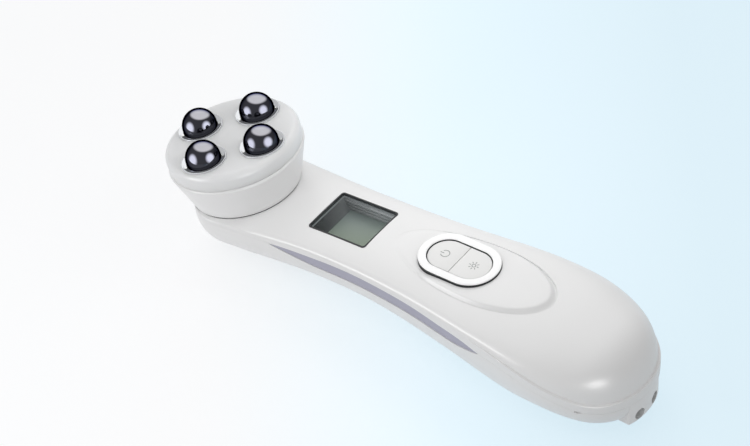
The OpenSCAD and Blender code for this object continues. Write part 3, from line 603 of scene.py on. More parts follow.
def smooth(item: bpy.types.Object, angle: float = 32.0) -> bpy.types.Object:
    """Shade a piece smooth up to an angle between faces.

    Args:
        item: The piece.
        angle: Greatest angle in degrees that still looks rounded.

    Returns:
        The same piece.
    """
    item.data.polygons.foreach_set("use_smooth", [True] * len(item.data.polygons))
    item.data.set_sharp_from_angle(angle=math.radians(angle))
    return item


def bake(item: bpy.types.Object) -> bpy.types.Object:
    """Turn the result of a piece's modifiers into its own plain mesh."""
    bpy.context.view_layer.update()
    graph = bpy.context.evaluated_depsgraph_get()
    mesh = bpy.data.meshes.new_from_object(item.evaluated_get(graph), depsgraph=graph)
    item.modifiers.clear()
    item.data = mesh
    mesh.name = item.name
    return item


def carve(item: bpy.types.Object, tool: bpy.types.Object, what: str = "DIFFERENCE") -> None:
    """Cut, join or trim a piece with another closed one, and remove that one.

    Args:
        item: The piece that stays.
        tool: The piece that is used up.
        what: DIFFERENCE, UNION or INTERSECT.
    """
    step = item.modifiers.new("carve", "BOOLEAN")
    step.operation = what
    step.solver = "MANIFOLD"
    step.object = tool
    bake(item)
    bpy.data.objects.remove(tool)


def bevel(item: bpy.types.Object, width: float, segments: int = 3, angle: float = 40.0) -> bpy.types.Object:
    """Round the sharp edges of a piece.

    Args:
        item: The piece.
        width: Width of the rounding in millimetres.
        segments: Number of faces across it.
        angle: Least angle in degrees that is rounded.

    Returns:
        The same piece.
    """
    step = item.modifiers.new("rounding", "BEVEL")
    step.width = width * MM
    step.segments = segments
    step.limit_method = "ANGLE"
    step.angle_limit = math.radians(angle)
    step.harden_normals = False
    return bake(item)


def lathe(name: str, profile: Sequence[tuple[float, float]], place: Matrix,
          steps: int = 96) -> bpy.types.Object:
    """Turn a closed outline round the Z axis.

    Args:
        name: Name of the piece.
        profile: Points [radius, height] in millimetres, anticlockwise in the half plane.
            An outline that touches the axis starts and ends on it.
        place: Frame of the axis.
        steps: Number of steps round.

    Returns:
        The new closed piece.
    """
    closed = profile[0][0] < 1e-6 and profile[-1][0] < 1e-6
    ring = list(profile[1:-1]) if closed else list(profile)
    count = len(ring)
    verts: list[Point] = []
    for turn in range(steps):
        angle = 2.0 * math.pi * turn / steps
        verts += [(r * math.cos(angle), r * math.sin(angle), z) for r, z in ring]
    faces: list[list[int]] = []
    rows = count - 1 if closed else count
    for turn in range(steps):
        here, there = turn * count, (turn + 1) % steps * count
        for k in range(rows):
            after = (k + 1) % count
            faces.append([here + k, there + k, there + after, here + after])
    if closed:
        low = len(verts)
        verts += [(0.0, 0.0, profile[0][1]), (0.0, 0.0, profile[-1][1])]
        for turn in range(steps):
            here, there = turn * count, (turn + 1) % steps * count
            faces.append([low, there, here])
            faces.append([low + 1, here + count - 1, there + count - 1])
    return new_object(name, verts, faces, place)


def stack(name: str, rings: Sequence[Sequence[Point]], place: Matrix | None = None) -> bpy.types.Object:
    """Skin a list of loops with equal counts and close both ends.

    Args:
        name: Name of the piece.
        rings: Loops from bottom to top, each anticlockwise seen from above.
        place: Frame of the points.

    Returns:
        The new closed piece.
    """
    count = len(rings[0])
    verts = [p for ring in rings for p in ring]
    faces: list[list[int]] = [list(range(count - 1, -1, -1))]
    for row in range(len(rings) - 1):
        here, there = row * count, (row + 1) * count
        for k in range(count):
            after = (k + 1) % count
            faces.append([here + k, here + after, there + after, there + k])
    faces.append([(len(rings) - 1) * count + k for k in range(count)])
    return new_object(name, verts, faces, place)


def flat_ring(loop: Loop, height: float) -> list[Point]:
    """Lift a plan outline to a height."""
    return [(x, y, height) for x, y in loop]


def prism(name: str, loop: Loop, low: float, high: float, place: Matrix | None = None) -> bpy.types.Object:
    """A closed straight piece with a plan outline."""
    return stack(name, [flat_ring(loop, low), flat_ring(loop, high)], place)


def ease(t: float) -> float:
    """Smooth rise from 0 to 1, level at both ends."""
    t = min(1.0, max(0.0, t))
    return t * t * (3 - 2 * t)


def stadium(length: float, width: float, steps: int = 40) -> Loop:
    """Plan outline with two half-round ends, anticlockwise."""
    radius = width / 2.0
    reach = length / 2.0 - radius
    loop: Loop = []
    for side, first in ((1.0, -90.0), (-1.0, 90.0)):
        for k in range(steps + 1):
            angle = math.radians(first + 180.0 * k / steps)
            loop.append((side * reach + radius * math.cos(angle), radius * math.sin(angle)))
    return loop


def round_rect(length: float, width: float, radius: float, steps: int = 10) -> Loop:
    """Plan outline of a rectangle with round corners, anticlockwise."""
    loop: Loop = []
    for cx, cy, first in ((1, -1, -90.0), (1, 1, 0.0), (-1, 1, 90.0), (-1, -1, 180.0)):
        for k in range(steps + 1):
            angle = math.radians(first + 90.0 * k / steps)
            loop.append((cx * (length / 2 - radius) + radius * math.cos(angle),
                         cy * (width / 2 - radius) + radius * math.sin(angle)))
    return loop


def hollow_stack(name: str, outer: Sequence[tuple[Loop, float]], inner: Sequence[tuple[Loop, float]],
                 place: Matrix) -> bpy.types.Object:
    """Skin a frame between an outer and an inner wall.

    Args:
        name: Name of the piece.
        outer: Loops with heights from the bottom to the top of the outside.
        inner: Loops with heights from the top to the bottom of the inside.
        place: Frame of the points.

    Returns:
        The new closed piece.
    """
    rings = [flat_ring(loop, z) for loop, z in list(outer) + list(inner)]
    count, rows = len(rings[0]), len(rings)
    verts = [p for ring in rings for p in ring]
    faces: list[list[int]] = []
    for row in range(rows):
        here, there = row * count, (row + 1) % rows * count
        for k in range(count):
            after = (k + 1) % count
            faces.append([here + k, here + after, there + after, there + k])
    return new_object(name, verts, faces, place)


def block(name: str, low: Point, high: Point) -> bpy.types.Object:
    """A closed box, used as a cutting tool."""
    loop = [(low[0], low[1]), (high[0], low[1]), (high[0], high[1]), (low[0], high[1])]
    return prism(name, loop, low[2], high[2])


def rod(name: str, radius: float, low: float, high: float, place: Matrix,
        top: float | None = None, steps: int = 48) -> bpy.types.Object:
    """A closed round rod or cone along the frame's Z axis."""
    wide = radius if top is None else top
    return lathe(name, [(0.0, low), (radius, low), (wide, high), (0.0, high)], place, steps)


class SkinNormals:
    """Smooth normals of a skin before it is cut, to keep its gloss even after."""

    def __init__(self, item: bpy.types.Object) -> None:
        """Remember the faces and the corner normals of a piece.

        Args:
            item: The uncut piece, already shaded smooth.
        """
        mesh = item.data
        self.points = [v.co.copy() for v in mesh.vertices]
        self.faces = [list(p.vertices) for p in mesh.polygons]
        normals = mesh.corner_normals
        self.normals = [[normals[k].vector.copy() for k in p.loop_indices] for p in mesh.polygons]
        self.tree = BVHTree.FromPolygons(self.points, self.faces)

    def at(self, point: Vector, facing: Vector) -> Vector | None:
        """Normal of the skin at a point.

        Args:
            point: Point in metres.
            facing: Normal of the face that asks.

        Returns:
            The smooth normal, or None where the point isn't on this skin.
        """
        spot, _, index, distance = self.tree.find_nearest(point)
        if index is None or distance > 4e-6:
            return None
        weights = poly_3d_calc([self.points[k] for k in self.faces[index]], spot)
        total = Vector((0.0, 0.0, 0.0))
        for weight, normal in zip(weights, self.normals[index]):
            total += weight * normal
        total.normalize()
        return total if total.dot(facing) > 0.88 else None


def keep_gloss(item: bpy.types.Object, skins: Sequence[SkinNormals]) -> None:
    """Give a cut piece the smooth normals of the skins that it was cut from."""
    mesh = item.data
    base = [n.vector.copy() for n in mesh.corner_normals]
    for face in mesh.polygons:
        for k in face.loop_indices:
            point = mesh.vertices[mesh.loops[k].vertex_index].co
            for skin in skins:
                found = skin.at(point, face.normal)
                if found is not None:
                    base[k] = found
                    break
    mesh.normals_split_custom_set(base)


# ------------------------------------------------------------------ geometry nodes
class NodeTree:
    """A geometry node tree with named inputs, applied to one piece and baked."""

    def __init__(self, name: str) -> None:
        """Start a tree with its geometry input and output.

        Args:
            name: Name of the tree.
        """
        self.tree = bpy.data.node_groups.new(name, "GeometryNodeTree")
        self.tree.interface.new_socket("Geometry", in_out="INPUT", socket_type="NodeSocketGeometry")
        self.tree.interface.new_socket("Geometry", in_out="OUTPUT", socket_type="NodeSocketGeometry")
        self.start = self.tree.nodes.new("NodeGroupInput")
        self.end = self.tree.nodes.new("NodeGroupOutput")
        self.ids: dict[str, str] = {}
        self.size("Turn", (0.0, 0.0, 0.0), "NodeSocketVector")

    def size(self, name: str, value: float | Sequence[float], kind: str = "NodeSocketFloat") -> None:
        """Add a named input.

        Args:
            name: Name of the size.
            value: Its default.
            kind: Socket type.
        """
        socket = self.tree.interface.new_socket(name, in_out="INPUT", socket_type=kind)
        socket.default_value = value
        self.ids[name] = socket.identifier

    def add(self, kind: str, **settings: object) -> bpy.types.Node:
        """Add a node and set its plain settings."""
        node = self.tree.nodes.new(kind)
        for key, value in settings.items():
            setattr(node, key, value)
        return node

    def feed(self, node: bpy.types.Node, **values: object) -> bpy.types.Node:
        """Set or link a node's inputs by name, with underscores for spaces."""
        for key, value in values.items():
            socket = node.inputs[key.replace("_", " ")]
            if isinstance(value, bpy.types.NodeSocket):
                self.tree.links.new(value, socket)
            else:
                socket.default_value = value
        return node

    def node(self, kind: str, **values: object) -> bpy.types.Node:
        """Add a geometry node and set or link its inputs."""
        return self.feed(self.add("GeometryNode" + kind), **values)

    def link(self, start: bpy.types.NodeSocket, end: bpy.types.NodeSocket) -> None:
        """Join two sockets."""
        self.tree.links.new(start, end)

    def named(self, name: str) -> bpy.types.NodeSocket:
        """The group's own input of that name."""
        return self.start.outputs[name]

    def shifted(self, shape: bpy.types.Node, name: str, share: float) -> bpy.types.Node:
        """Move a shape along Z by a share of a named size."""
        part = self.add("ShaderNodeMath", operation="MULTIPLY")
        part.inputs[1].default_value = share
        self.link(self.named(name), part.inputs[0])
        way = self.add("ShaderNodeCombineXYZ")
        self.link(part.outputs[0], way.inputs["Z"])
        return self.node("Transform", Geometry=shape.outputs["Mesh"], Translation=way.outputs[0])

    def finish(self, shape: bpy.types.NodeSocket, material: bpy.types.Material) -> None:
        """Put the turned shape on every point, realize it, give it its material and end the tree.

        Args:
            shape: Socket with the finished geometry.
            material: Material of the result.
        """
        spot = self.node("MeshToPoints", Mesh=self.named("Geometry"))
        copy = self.node("InstanceOnPoints", Points=spot.outputs[0], Instance=shape, Rotation=self.named("Turn"))
        real = self.add("GeometryNodeRealizeInstances")
        self.link(copy.outputs[0], real.inputs[0])
        paint = self.node("SetMaterial", Geometry=real.outputs[0], Material=material)
        self.link(paint.outputs[0], self.end.inputs[0])

    def run(self, item: bpy.types.Object, **sizes: object) -> bpy.types.Object:
        """Run the tree on a piece and bake the result.

        Args:
            item: The piece that carries the points.
            sizes: Values of the named inputs, with underscores for spaces.

        Returns:
            The same piece with its plain mesh.
        """
        step = item.modifiers.new(self.tree.name, "NODES")
        step.node_group = self.tree
        for key, value in sizes.items():
            step[self.ids[key.replace("_", " ")]] = value
        return bake(item)


# ------------------------------------------------------------------ the handle's form
@dataclass(frozen=True)
class HandleForm:
    """Sizes and lines of the handle in millimetres, and the skin that they give."""

    length: float = 177.0
    height: float = 34.8
    nose_w: float = 42.7
    waist_w: float = 34.8
    flare_w: float = 57.3
    arch: float = 5.5
    nose_round: float = 18.5
    tail_round: float = 40.5
    nose_edge: float = 14.0
    tail_edge: float = 15.0
    tail_power: float = 2.08
    over_power: float = 2.45
    under_power: float = 2.2
    foot_flat: float = 0.35
    step_depth: float = 0.8
    band: float = 3.4
    nose_x: float = -83.5942

    @property
    def tail_x(self) -> float:
        """Place of the tail's end along the handle."""
        return self.nose_x + self.length

    def share(self, x: float) -> float:
        """Share of the length at a place along the handle."""
        return (x - self.nose_x) / self.length

    @staticmethod
    def curve(points: Sequence[tuple[float, float]], s: float) -> float:
        """Smooth curve through points.

        Args:
            points: Pairs of share and value.
            s: Share of the length.

        Returns:
            The value there.
        """
        last = len(points) - 1
        i = 0
        while i < last - 1 and s >= points[i + 1][0]:
            i += 1

        def slope(k: int) -> float:
            """Slope of the curve at a point."""
            a, b = max(0, k - 1), min(last, k + 1)
            return (points[b][1] - points[a][1]) / (points[b][0] - points[a][0])

        width = points[i + 1][0] - points[i][0]
        t = (s - points[i][0]) / width
        return (points[i][1] * (2 * t**3 - 3 * t**2 + 1) + points[i + 1][1] * (3 * t**2 - 2 * t**3)
                + width * slope(i) * (t**3 - 2 * t**2 + t) + width * slope(i + 1) * (t**3 - t**2))

    def width_at(self, x: float) -> float:
        """Half width before the ends are rounded."""
        nose, waist, flare = self.nose_w, self.waist_w, self.flare_w

        def part(a: float, b: float, t: float) -> float:
            """Half of a width between two widths."""
            return (a + (b - a) * t) / 2

        line = [(0, nose / 2), (0.155, part(nose, waist, 0.51)), (0.33, waist / 2),
                (0.52, part(waist, flare, 0.1)), (0.72, part(waist, flare, 0.46)),
                (0.87, part(waist, flare, 0.76)), (1, flare / 2)]
        return self.curve(line, self.share(x))

    def top_at(self, x: float) -> float:
        """Height of the top line."""
        line = [(0, 0.525), (0.16, 0.684), (0.33, 0.82), (0.525, 0.92), (0.72, 0.985), (0.85, 1), (1, 0.97)]
        return self.height * self.curve(line, self.share(x))

    def bottom_at(self, x: float) -> float:
        """Height of the underside's line."""
        flat, arch = -self.foot_flat, self.arch
        line = [(0, flat), (0.09, flat), (0.28, 0.67 * arch), (0.45, arch), (0.62, 0.43 * arch),
                (0.75, flat), (0.85, 2.3), (1, 3.8)]
        return self.curve(line, self.share(x))

    def side_z(self, x: float) -> float:
        """Height of the widest line."""
        line = [(0, 0.488), (0.16, 0.6), (0.33, 0.713), (0.525, 0.784), (0.72, 0.819), (0.82, 0.756),
                (0.875, 0.681), (0.935, 0.585), (1, 0.485)]
        return self.height * self.curve(line, self.share(x))

    def rim_z(self, x: float) -> float:
        """Height of the line where the two shells meet."""
        line = [(0, 0.488), (0.24, 0.606), (0.47, 0.665), (0.72, 0.704), (0.8, 0.684), (0.89, 0.572),
                (0.95, 0.482), (1, 0.485)]
        return self.height * self.curve(line, self.share(x))

    @staticmethod
    def end_round(distance: float, reach: float, power: float) -> float:
        """Rounding of an end: 1 in the body, 0 at the tip."""
        if distance >= reach:
            return 1.0
        return max(0.0, 1 - (1 - max(0.0, distance) / reach) ** power) ** (1 / power)

    def plan_round(self, x: float, off: float) -> float:
        """Rounding of both ends in plan."""
        return (self.end_round(x - self.nose_x - off, self.nose_round - off, 2)
                * self.end_round(self.tail_x - off - x, self.tail_round - off, self.tail_power))

    def side_round(self, x: float, off: float) -> float:
        """Rounding of both ends seen from the side."""
        return (self.end_round(x - self.nose_x - off, self.nose_edge - off, 2)
                * self.end_round(self.tail_x - off - x, self.tail_edge - off, 2.2))

    def half_w(self, x: float, off: float = 0.0) -> float:
        """Half width of the section."""
        return (self.width_at(x) - off) * self.plan_round(x, off)

    def over_h(self, x: float, mid: float, off: float = 0.0) -> float:
        """Height of the section above its middle."""
        return (self.top_at(x) - off - mid) * self.side_round(x, off)

    def under_h(self, x: float, mid: float, off: float = 0.0) -> float:
        """Height of the section below its middle."""
        return (mid - self.bottom_at(x) - off) * self.side_round(x, off)

    def point(self, x: float, angle: float, mid: float, off: float = 0.0) -> Point:
        """Point of a section.

        Args:
            x: Place along the handle.
            angle: Angle round the section in degrees.
            mid: Height of the section's middle.
            off: Depth under the skin.

        Returns:
            The point in millimetres.
        """
        c, s = math.cos(math.radians(angle)), math.sin(math.radians(angle))
        power = self.over_power if s >= 0 else self.under_power
        high = self.over_h(x, mid, off) if s >= 0 else self.under_h(x, mid, off)
        return (x, math.copysign(self.half_w(x, off) * abs(c) ** (2 / power), c),
                mid + math.copysign(high * abs(s) ** (2 / power), s))

    def angle_at(self, x: float, z: float) -> float:
        """Angle in degrees at which the section reaches a height."""
        mid = self.side_z(x)
        d = z - mid
        high = self.over_h(x, mid) if d >= 0 else self.under_h(x, mid)
        power = self.over_power if d >= 0 else self.under_power
        part = min(1.0, abs(d) / max(0.01, high)) ** (power / 2)
        return math.copysign(math.degrees(math.asin(part)), d)

    def side_y(self, x: float, z: float, off: float = 0.0) -> float:
        """Half width at a height."""
        mid = self.side_z(x)
        d = z - mid
        high = self.over_h(x, mid, off) if d >= 0 else self.under_h(x, mid, off)
        power = self.over_power if d >= 0 else self.under_power
        return self.half_w(x, off) * max(0.0, 1 - min(1.0, abs(d) / high) ** power) ** (1 / power)

    def top_z(self, x: float, y: float) -> float:
        """Height of the top off the centre line."""
        mid, p = self.side_z(x), self.over_power
        part = max(0.0, 1 - min(1.0, abs(y) / self.half_w(x)) ** p) ** (1 / p)
        return mid + self.over_h(x, mid) * part

    def floor_z(self, x: float, y: float, off: float = 0.0) -> float:
        """Height of the underside off the centre line."""
        mid, p = self.side_z(x), self.under_power
        part = max(0.0, 1 - min(1.0, abs(y) / self.half_w(x, off)) ** p) ** (1 / p)
        return mid - self.under_h(x, mid, off) * part

    def row_x(self, share: float, off: float = 0.0) -> float:
        """Place of a row, closer together at both ends."""
        return self.nose_x + off + (self.length - 2 * off) * (1 - math.cos(math.pi * share)) / 2

    def slope_frame(self, inset: float, lift: float = 0.0) -> Matrix:
        """Frame on the top line, tilted with it.

        Args:
            inset: Distance from the nose.
            lift: Height above the skin.

        Returns:
            The frame in millimetres.
        """
        x = self.nose_x + inset
        tilt = math.atan((self.top_z(x + 1, 0) - self.top_z(x - 1, 0)) / 2)
        return Matrix.Translation((x, 0, self.top_z(x, 0) + lift)) @ Matrix.Rotation(-tilt, 4, "Y")


HANDLE = HandleForm()
HEAD_FRAME = Matrix.Translation((HANDLE.nose_x + 17, 0, 21)) @ Matrix.Rotation(-math.radians(13.5), 4, "Y")
DISPLAY_FRAME = HANDLE.slope_frame(62.7)
KEY_IN = 105.7
KEY_FRAME = HANDLE.slope_frame(KEY_IN, 1.0)
SCREW_SEAT = 4.5
POST_PLACES = ((39, -6), (39, 6), (157, -6), (157, 6))
BALL_TURNS = (("front", 180), ("rear", 0), ("left", 90), ("right", 270))


def spun(frame: Matrix, angle: float, out: float, up: float = 0.0) -> Matrix:
    """Frame turned about its Z axis and moved outward and up."""
    return frame @ Matrix.Rotation(math.radians(angle), 4, "Z") @ Matrix.Translation((out, 0, up))


def upright(x: float, y: float) -> Matrix:
    """Upright frame at a place on the table."""
    return Matrix.Translation((x, y, 0.0))


# ------------------------------------------------------------------ finishes by slot
@dataclass
class FinishBook:
    """All finishes of the device, built once and looked up by the record's slot."""

    built: dict[str, bpy.types.Material] = field(default_factory=dict)

    def __post_init__(self) -> None:
        """Build every finish."""
        middle = DISPLAY_FRAME.translation
        where = (middle.x * MM, middle.y * MM)
        grey = srgb(176, 180, 182)
        recipes = (
            MouldedPlastic("white_shell", srgb(236, 236, 236), 0.34, 0.0004, 0.0000004, 0.006),
            MouldedPlastic("white_gloss", srgb(252, 252, 252), 0.2, 0.0004, 0.0000003, 0.004, 0.5),
            FrostedCap("frosted_cap", srgb(232, 233, 234)),
            MouldedPlastic("key_grey", srgb(232, 232, 231), 0.42, 0.0003, 0.0000008, 0.006),
            MouldedPlastic("strip_grey", srgb(176, 176, 192), 0.5, 0.0005, 0.000002, 0.02),
            PolishedMetal("ball_metal", (0.05, 0.051, 0.062, 1), (0.02, 0.02, 0.03, 1), 0.06),
            BrightTrim("collar_gloss", srgb(226, 228, 231)),
            MouldedPlastic("dark_trim", srgb(30, 33, 36), 0.3, 0.0008, 0.000004, 0.08),
            MouldedPlastic("dark_rubber", srgb(44, 46, 50), 0.75, 0.0006, 0.00002, 0.1),
            ClearPane("clear_window", srgb(205, 216, 218), 0.025),
            DisplayFilm("display_panel", srgb(146, 163, 140), srgb(142, 154, 152), where),
            # The well's liner and ribs carry painted shade, darkest at the head end.
            WellPlasticWithPaintedShade("display_well", srgb(5, 8, 8), grey, where),
            MouldedPlastic("display_ledge", srgb(150, 156, 158), 0.4, 0.0008, 0.000005, 0.05),
            MouldedPlastic("backlight", srgb(236, 238, 226), 0.4, 0.0012, 0.000008, 0.03, 0.0, 0.4),
            Ribbed("connector_rubber", srgb(190, 110, 104), srgb(60, 40, 40), "Y", 0.0006),
            MouldedPlastic("inner_plastic", srgb(216, 219, 210), 0.45, 0.0008, 0.000008, 0.03),
            Laminate("white_board", srgb(232, 238, 234), srgb(206, 216, 208)),
            Laminate("green_board", srgb(28, 98, 58), srgb(52, 138, 86)),
            MouldedPlastic("diode_resin", srgb(240, 232, 178), 0.25, 0.0006, 0.000004, 0.05, 0.2, 0.5),
            PolishedMetal("contact_brass", srgb(214, 178, 98), gloss=0.22, streak=0.0006),
            Ribbed("coil_copper", srgb(186, 104, 58), srgb(70, 34, 20), "Z", 0.0004, 0.8, 0.35),
            PolishedMetal("screw_steel", srgb(176, 180, 186), gloss=0.28, streak=0.0004,
                                         depth=0.000003),
            Ribbed("battery_foil", srgb(196, 200, 206), srgb(178, 182, 190), "X", 0.0014, 0.85,
                                   0.38, 0.00001),
            Ribbed("ribbon", srgb(212, 158, 62), srgb(150, 100, 40), "X", 0.0006, 0.0, 0.35, 0.00001),
            MouldedPlastic("dark_lead", srgb(34, 36, 40), 0.4, 0.0005, 0.000006, 0.1),
            MouldedPlastic("red_lead", srgb(186, 42, 34), 0.38, 0.0005, 0.000006, 0.06),
            # Painted shade for the inside of the charging sockets.
            MouldedPlastic("socket_shade", srgb(214, 216, 216), 0.5, 0.0005, 0.000002, 0.05),
            MouldedPlastic("mark_ink", srgb(150, 152, 152), 0.5, 0.0004, 0.000004, 0.05),
        )
        for recipe in recipes:
            self.built[recipe.name] = recipe.build()

    def of(self, slot: str) -> bpy.types.Material:
        """Finish of a slot."""
        return self.built[slot]


@dataclass
class Assembly:
    """What every sub-assembly needs: the finishes and a way to seat its pieces."""

    book: FinishBook

    def seat(self, item: bpy.types.Object, slot: str, *nodes: str, body: Body = Body.HOUSING,
             finish: str = "") -> bpy.types.Object:
        """Finish a piece and let it ride on its body.

        Args:
            item: The piece, in place.
            slot: The record's slot that its finish stands for.
            nodes: CAD nodes that the piece stands for.
            body: Body that it moves with.
            finish: Name of a special finish; the slot's own one when empty.

        Returns:
            The same piece.
        """
        item.data.materials.clear()
        item.data.materials.append(self.book.of(finish or slot))
        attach(item, body.value)
        if nodes:
            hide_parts(*nodes)
        LOG.info("%s: %d faces on %s", item.name, len(item.data.polygons), body.value)
        return item


# ------------------------------------------------------------------ handle
@dataclass
class HandleShells(Assembly):
    """The two shells of the handle, with their band, pad, openings and strips."""

    form: HandleForm = HANDLE
    wall: float = 2.0
    seam: float = 0.06
    rim_round: float = 0.09
    rows: int = 150
    arc: int = 96
    strip_in: float = 41.0
    strip_l: float = 87.0
    strip_up: float = 2.6
    strip_down: float = 2.15
    strip_head_reach: float = 0.3
    strip_tail_reach: float = 0.16
    strip_sink: float = 0.35
    strip_t: float = 0.8
    pad_mid: float = 10.0
    pad_tail: float = 26.0
    pad_head: float = 34.7
    pad_half: float = 13.4
    pad_h: float = 1.0
    pad_trough: float = 0.46
    ridge_from: float = 0.66
    ridge_to: float = 0.86
    strip_fit: float = 0.05
    socket_y: float = 4.1
    socket_z: float = 9.8
    socket_r: float = 2.05

    def eased_in(self, point: Point) -> Point:
        """Pull a rim point in a little, so that the parting line is a fine groove."""
        x, y, z = point
        return (x, y * (1 - min(self.rim_round / max(abs(y), 0.01), 0.3)), z)

    def ledge_at(self, x: float) -> float:
        """Depth of the step above the band, which runs on towards the head as a fine ridge."""
        span = self.ridge_to - self.ridge_from
        return self.form.step_depth * ease((self.form.share(x) - self.ridge_from) / span)

    def top_row(self, x: float) -> list[Point]:
        """Outside points of the upper shell at one place, from the left rim to the right.

        Args:
            x: Place along the handle.

        Returns:
            The points in millimetres.
        """
        form = self.form
        mid, rim = form.side_z(x), form.rim_z(x)
        a = form.angle_at(x, rim)
        b = min(50.0, form.angle_at(x, max(rim + form.band, mid)))
        edge = form.point(x, b, mid)
        low, step = edge[2], self.ledge_at(x)
        share = step / form.step_depth
        band = [self.eased_in(form.point(x, a, mid))]
        band += [form.point(x, a + (b - a) * f, mid) for f in (0.042, 0.22, 0.4, 0.6, 0.8, 0.955)]
        band.append((x, edge[1] * (1 - 0.16 * share / max(abs(edge[1]), 1.0)), low))
        high = (form.top_at(x) - mid) * form.side_round(x, step)

        def over(angle: float) -> Point:
            """Point above the step."""
            c, s = math.cos(math.radians(angle)), math.sin(math.radians(angle))
            free = form.point(x, angle, mid)
            y = form.half_w(x, step) * abs(c) ** (2 / form.over_power)
            return (x, math.copysign(max(y, 0.35 * abs(free[1])), free[1]),
                    max(mid + high * abs(s) ** (2 / form.over_power), low))

        first, last = b + 1.4, 178.6 - b
        middle = [over(b + 0.3)]
        middle += [over(first + (last - first) * k / self.arc) for k in range(self.arc + 1)]
        middle.append(over(179.7 - b))
        far = [(px, -py, pz) for px, py, pz in reversed(band)]
        return band + middle + far

    def under_row(self, x: float) -> list[Point]:
        """Outside points of the lower shell at one place, from the right rim to the left."""
        mid = self.form.side_z(x)
        a = self.form.angle_at(x, self.form.rim_z(x))
        first, last = 180 - a, 360 + a
        steps = self.arc
        row = [self.form.point(x, first + (last - first) * k / steps, mid) for k in range(steps + 1)]
        return [self.eased_in(row[0])] + row[1:-1] + [self.eased_in(row[-1])]

    def inner_row(self, x: float, first: float, last: float) -> list[Point]:
        """Inside points of a shell at one place."""
        steps = 28
        mid = self.form.rim_z(x)
        return [self.form.point(x, first + (last - first) * k / steps, mid, self.wall) for k in range(steps + 1)]

    def half_shell(self, name: str, outer: list[list[Point]], inner: list[list[Point]],
                   lift: float) -> bpy.types.Object:
        """Join an outer and an inner skin into one closed shell.

        Args:
            name: Name of the piece.
            outer: Rows of the outer skin.
            inner: Rows of the inner skin.
            lift: Shift of the whole shell upward.

        Returns:
            The closed shell.
        """
        form, r, m, k = self.form, len(outer), len(outer[0]), len(inner[0])
        nose, tail = form.nose_x, form.tail_x
        verts: list[Point] = [(nose, 0, form.side_z(nose))] + [p for row in outer for p in row]
        verts.append((tail, 0, form.side_z(tail)))
        base = len(verts)
        head_in, tail_in = nose + self.wall, tail - self.wall
        verts.append((head_in, 0, form.rim_z(head_in)))
        verts += [p for row in inner for p in row]
        verts.append((tail_in, 0, form.rim_z(tail_in)))
        verts = [(x, y, z + lift) for x, y, z in verts]
        last = len(verts) - 1

        def out(i: int, j: int) -> int:
            """Number of a point on the outer skin."""
            return 1 + i * m + j

        def inn(i: int, j: int) -> int:
            """Number of a point on the inner skin."""
            return base + 1 + i * k + j

        faces: list[list[int]] = []
        for i in range(r - 1):
            faces += [[out(i, j), out(i, j + 1), out(i + 1, j + 1), out(i + 1, j)] for j in range(m - 1)]
            faces += [[inn(i, j), inn(i + 1, j), inn(i + 1, j + 1), inn(i, j + 1)] for j in range(k - 1)]
            faces.append([out(i, 0), out(i + 1, 0), inn(i + 1, 0), inn(i, 0)])
            faces.append([out(i, m - 1), inn(i, k - 1), inn(i + 1, k - 1), out(i + 1, m - 1)])
        for j in range(m - 1):
            faces.append([0, out(0, j + 1), out(0, j)])
            faces.append([base - 1, out(r - 1, j), out(r - 1, j + 1)])
        for j in range(k - 1):
            faces.append([base, inn(0, j), inn(0, j + 1)])
            faces.append([last, inn(r - 1, j + 1), inn(r - 1, j)])
        faces.append([0, out(0, 0), inn(0, 0), base])
        faces.append([0, base, inn(0, k - 1), out(0, m - 1)])
        faces.append([base - 1, last, inn(r - 1, 0), out(r - 1, 0)])
        faces.append([base - 1, out(r - 1, m - 1), inn(r - 1, k - 1), last])
        return smooth(new_object(name, verts, faces), 30)

    @staticmethod
    def strip_dip(t: float) -> float:
        """How far the strip's line hangs under the parting line, at a share of its length."""
        return 1.35 * math.exp(-((t - 0.18) / 0.16) ** 2) + 1.05 * math.exp(-((t - 0.86) / 0.13) ** 2)

    def strip_form(self, name: str, side: Side, extra: float, out: float, deep: float) -> bpy.types.Object:
        """A spindle that follows the side of the handle.

        Args:
            name: Name of the piece.
            side: Side of the handle.
            extra: Growth of its outline.
            out: Depth of its face under the skin.
            deep: Depth of its back under the skin.

        Returns:
            The closed spindle.
        """
        form, rows = self.form, 110
        start = form.nose_x + self.strip_in
        rings: list[list[Point]] = []
        for i in range(rows + 1):
            t = i / rows
            x = start - extra + (self.strip_l + 2 * extra) * t
            near_head = min(1.0, (t + 0.004) / self.strip_head_reach)
            near_tail = min(1.0, (1.004 - t) / self.strip_tail_reach)
            swell = (1 - (1 - near_head) ** 2) * (1 - (1 - near_tail) ** 2)
            line = form.rim_z(x) - self.strip_dip(t)
            low, high = line - extra - self.strip_down * swell, line + extra + self.strip_up * swell
            levels = [low + (high - low) * n / 8 for n in range(9)]
            face = [(x, side.value * form.side_y(x, z, out), z) for z in levels]
            back = [(x, side.value * form.side_y(x, z, deep), z) for z in reversed(levels)]
            ring = face + back
            rings.append(ring if side is Side.LEFT else ring[::-1])
        return stack(name, rings)

    def cut_strips(self, shell: bpy.types.Object) -> None:
        """Cut the two recesses of the strips."""
        deep = self.strip_sink + self.strip_t + self.strip_fit
        for side in Side:
            carve(shell, self.strip_form("strip_tool", side, self.strip_fit, -1, deep))

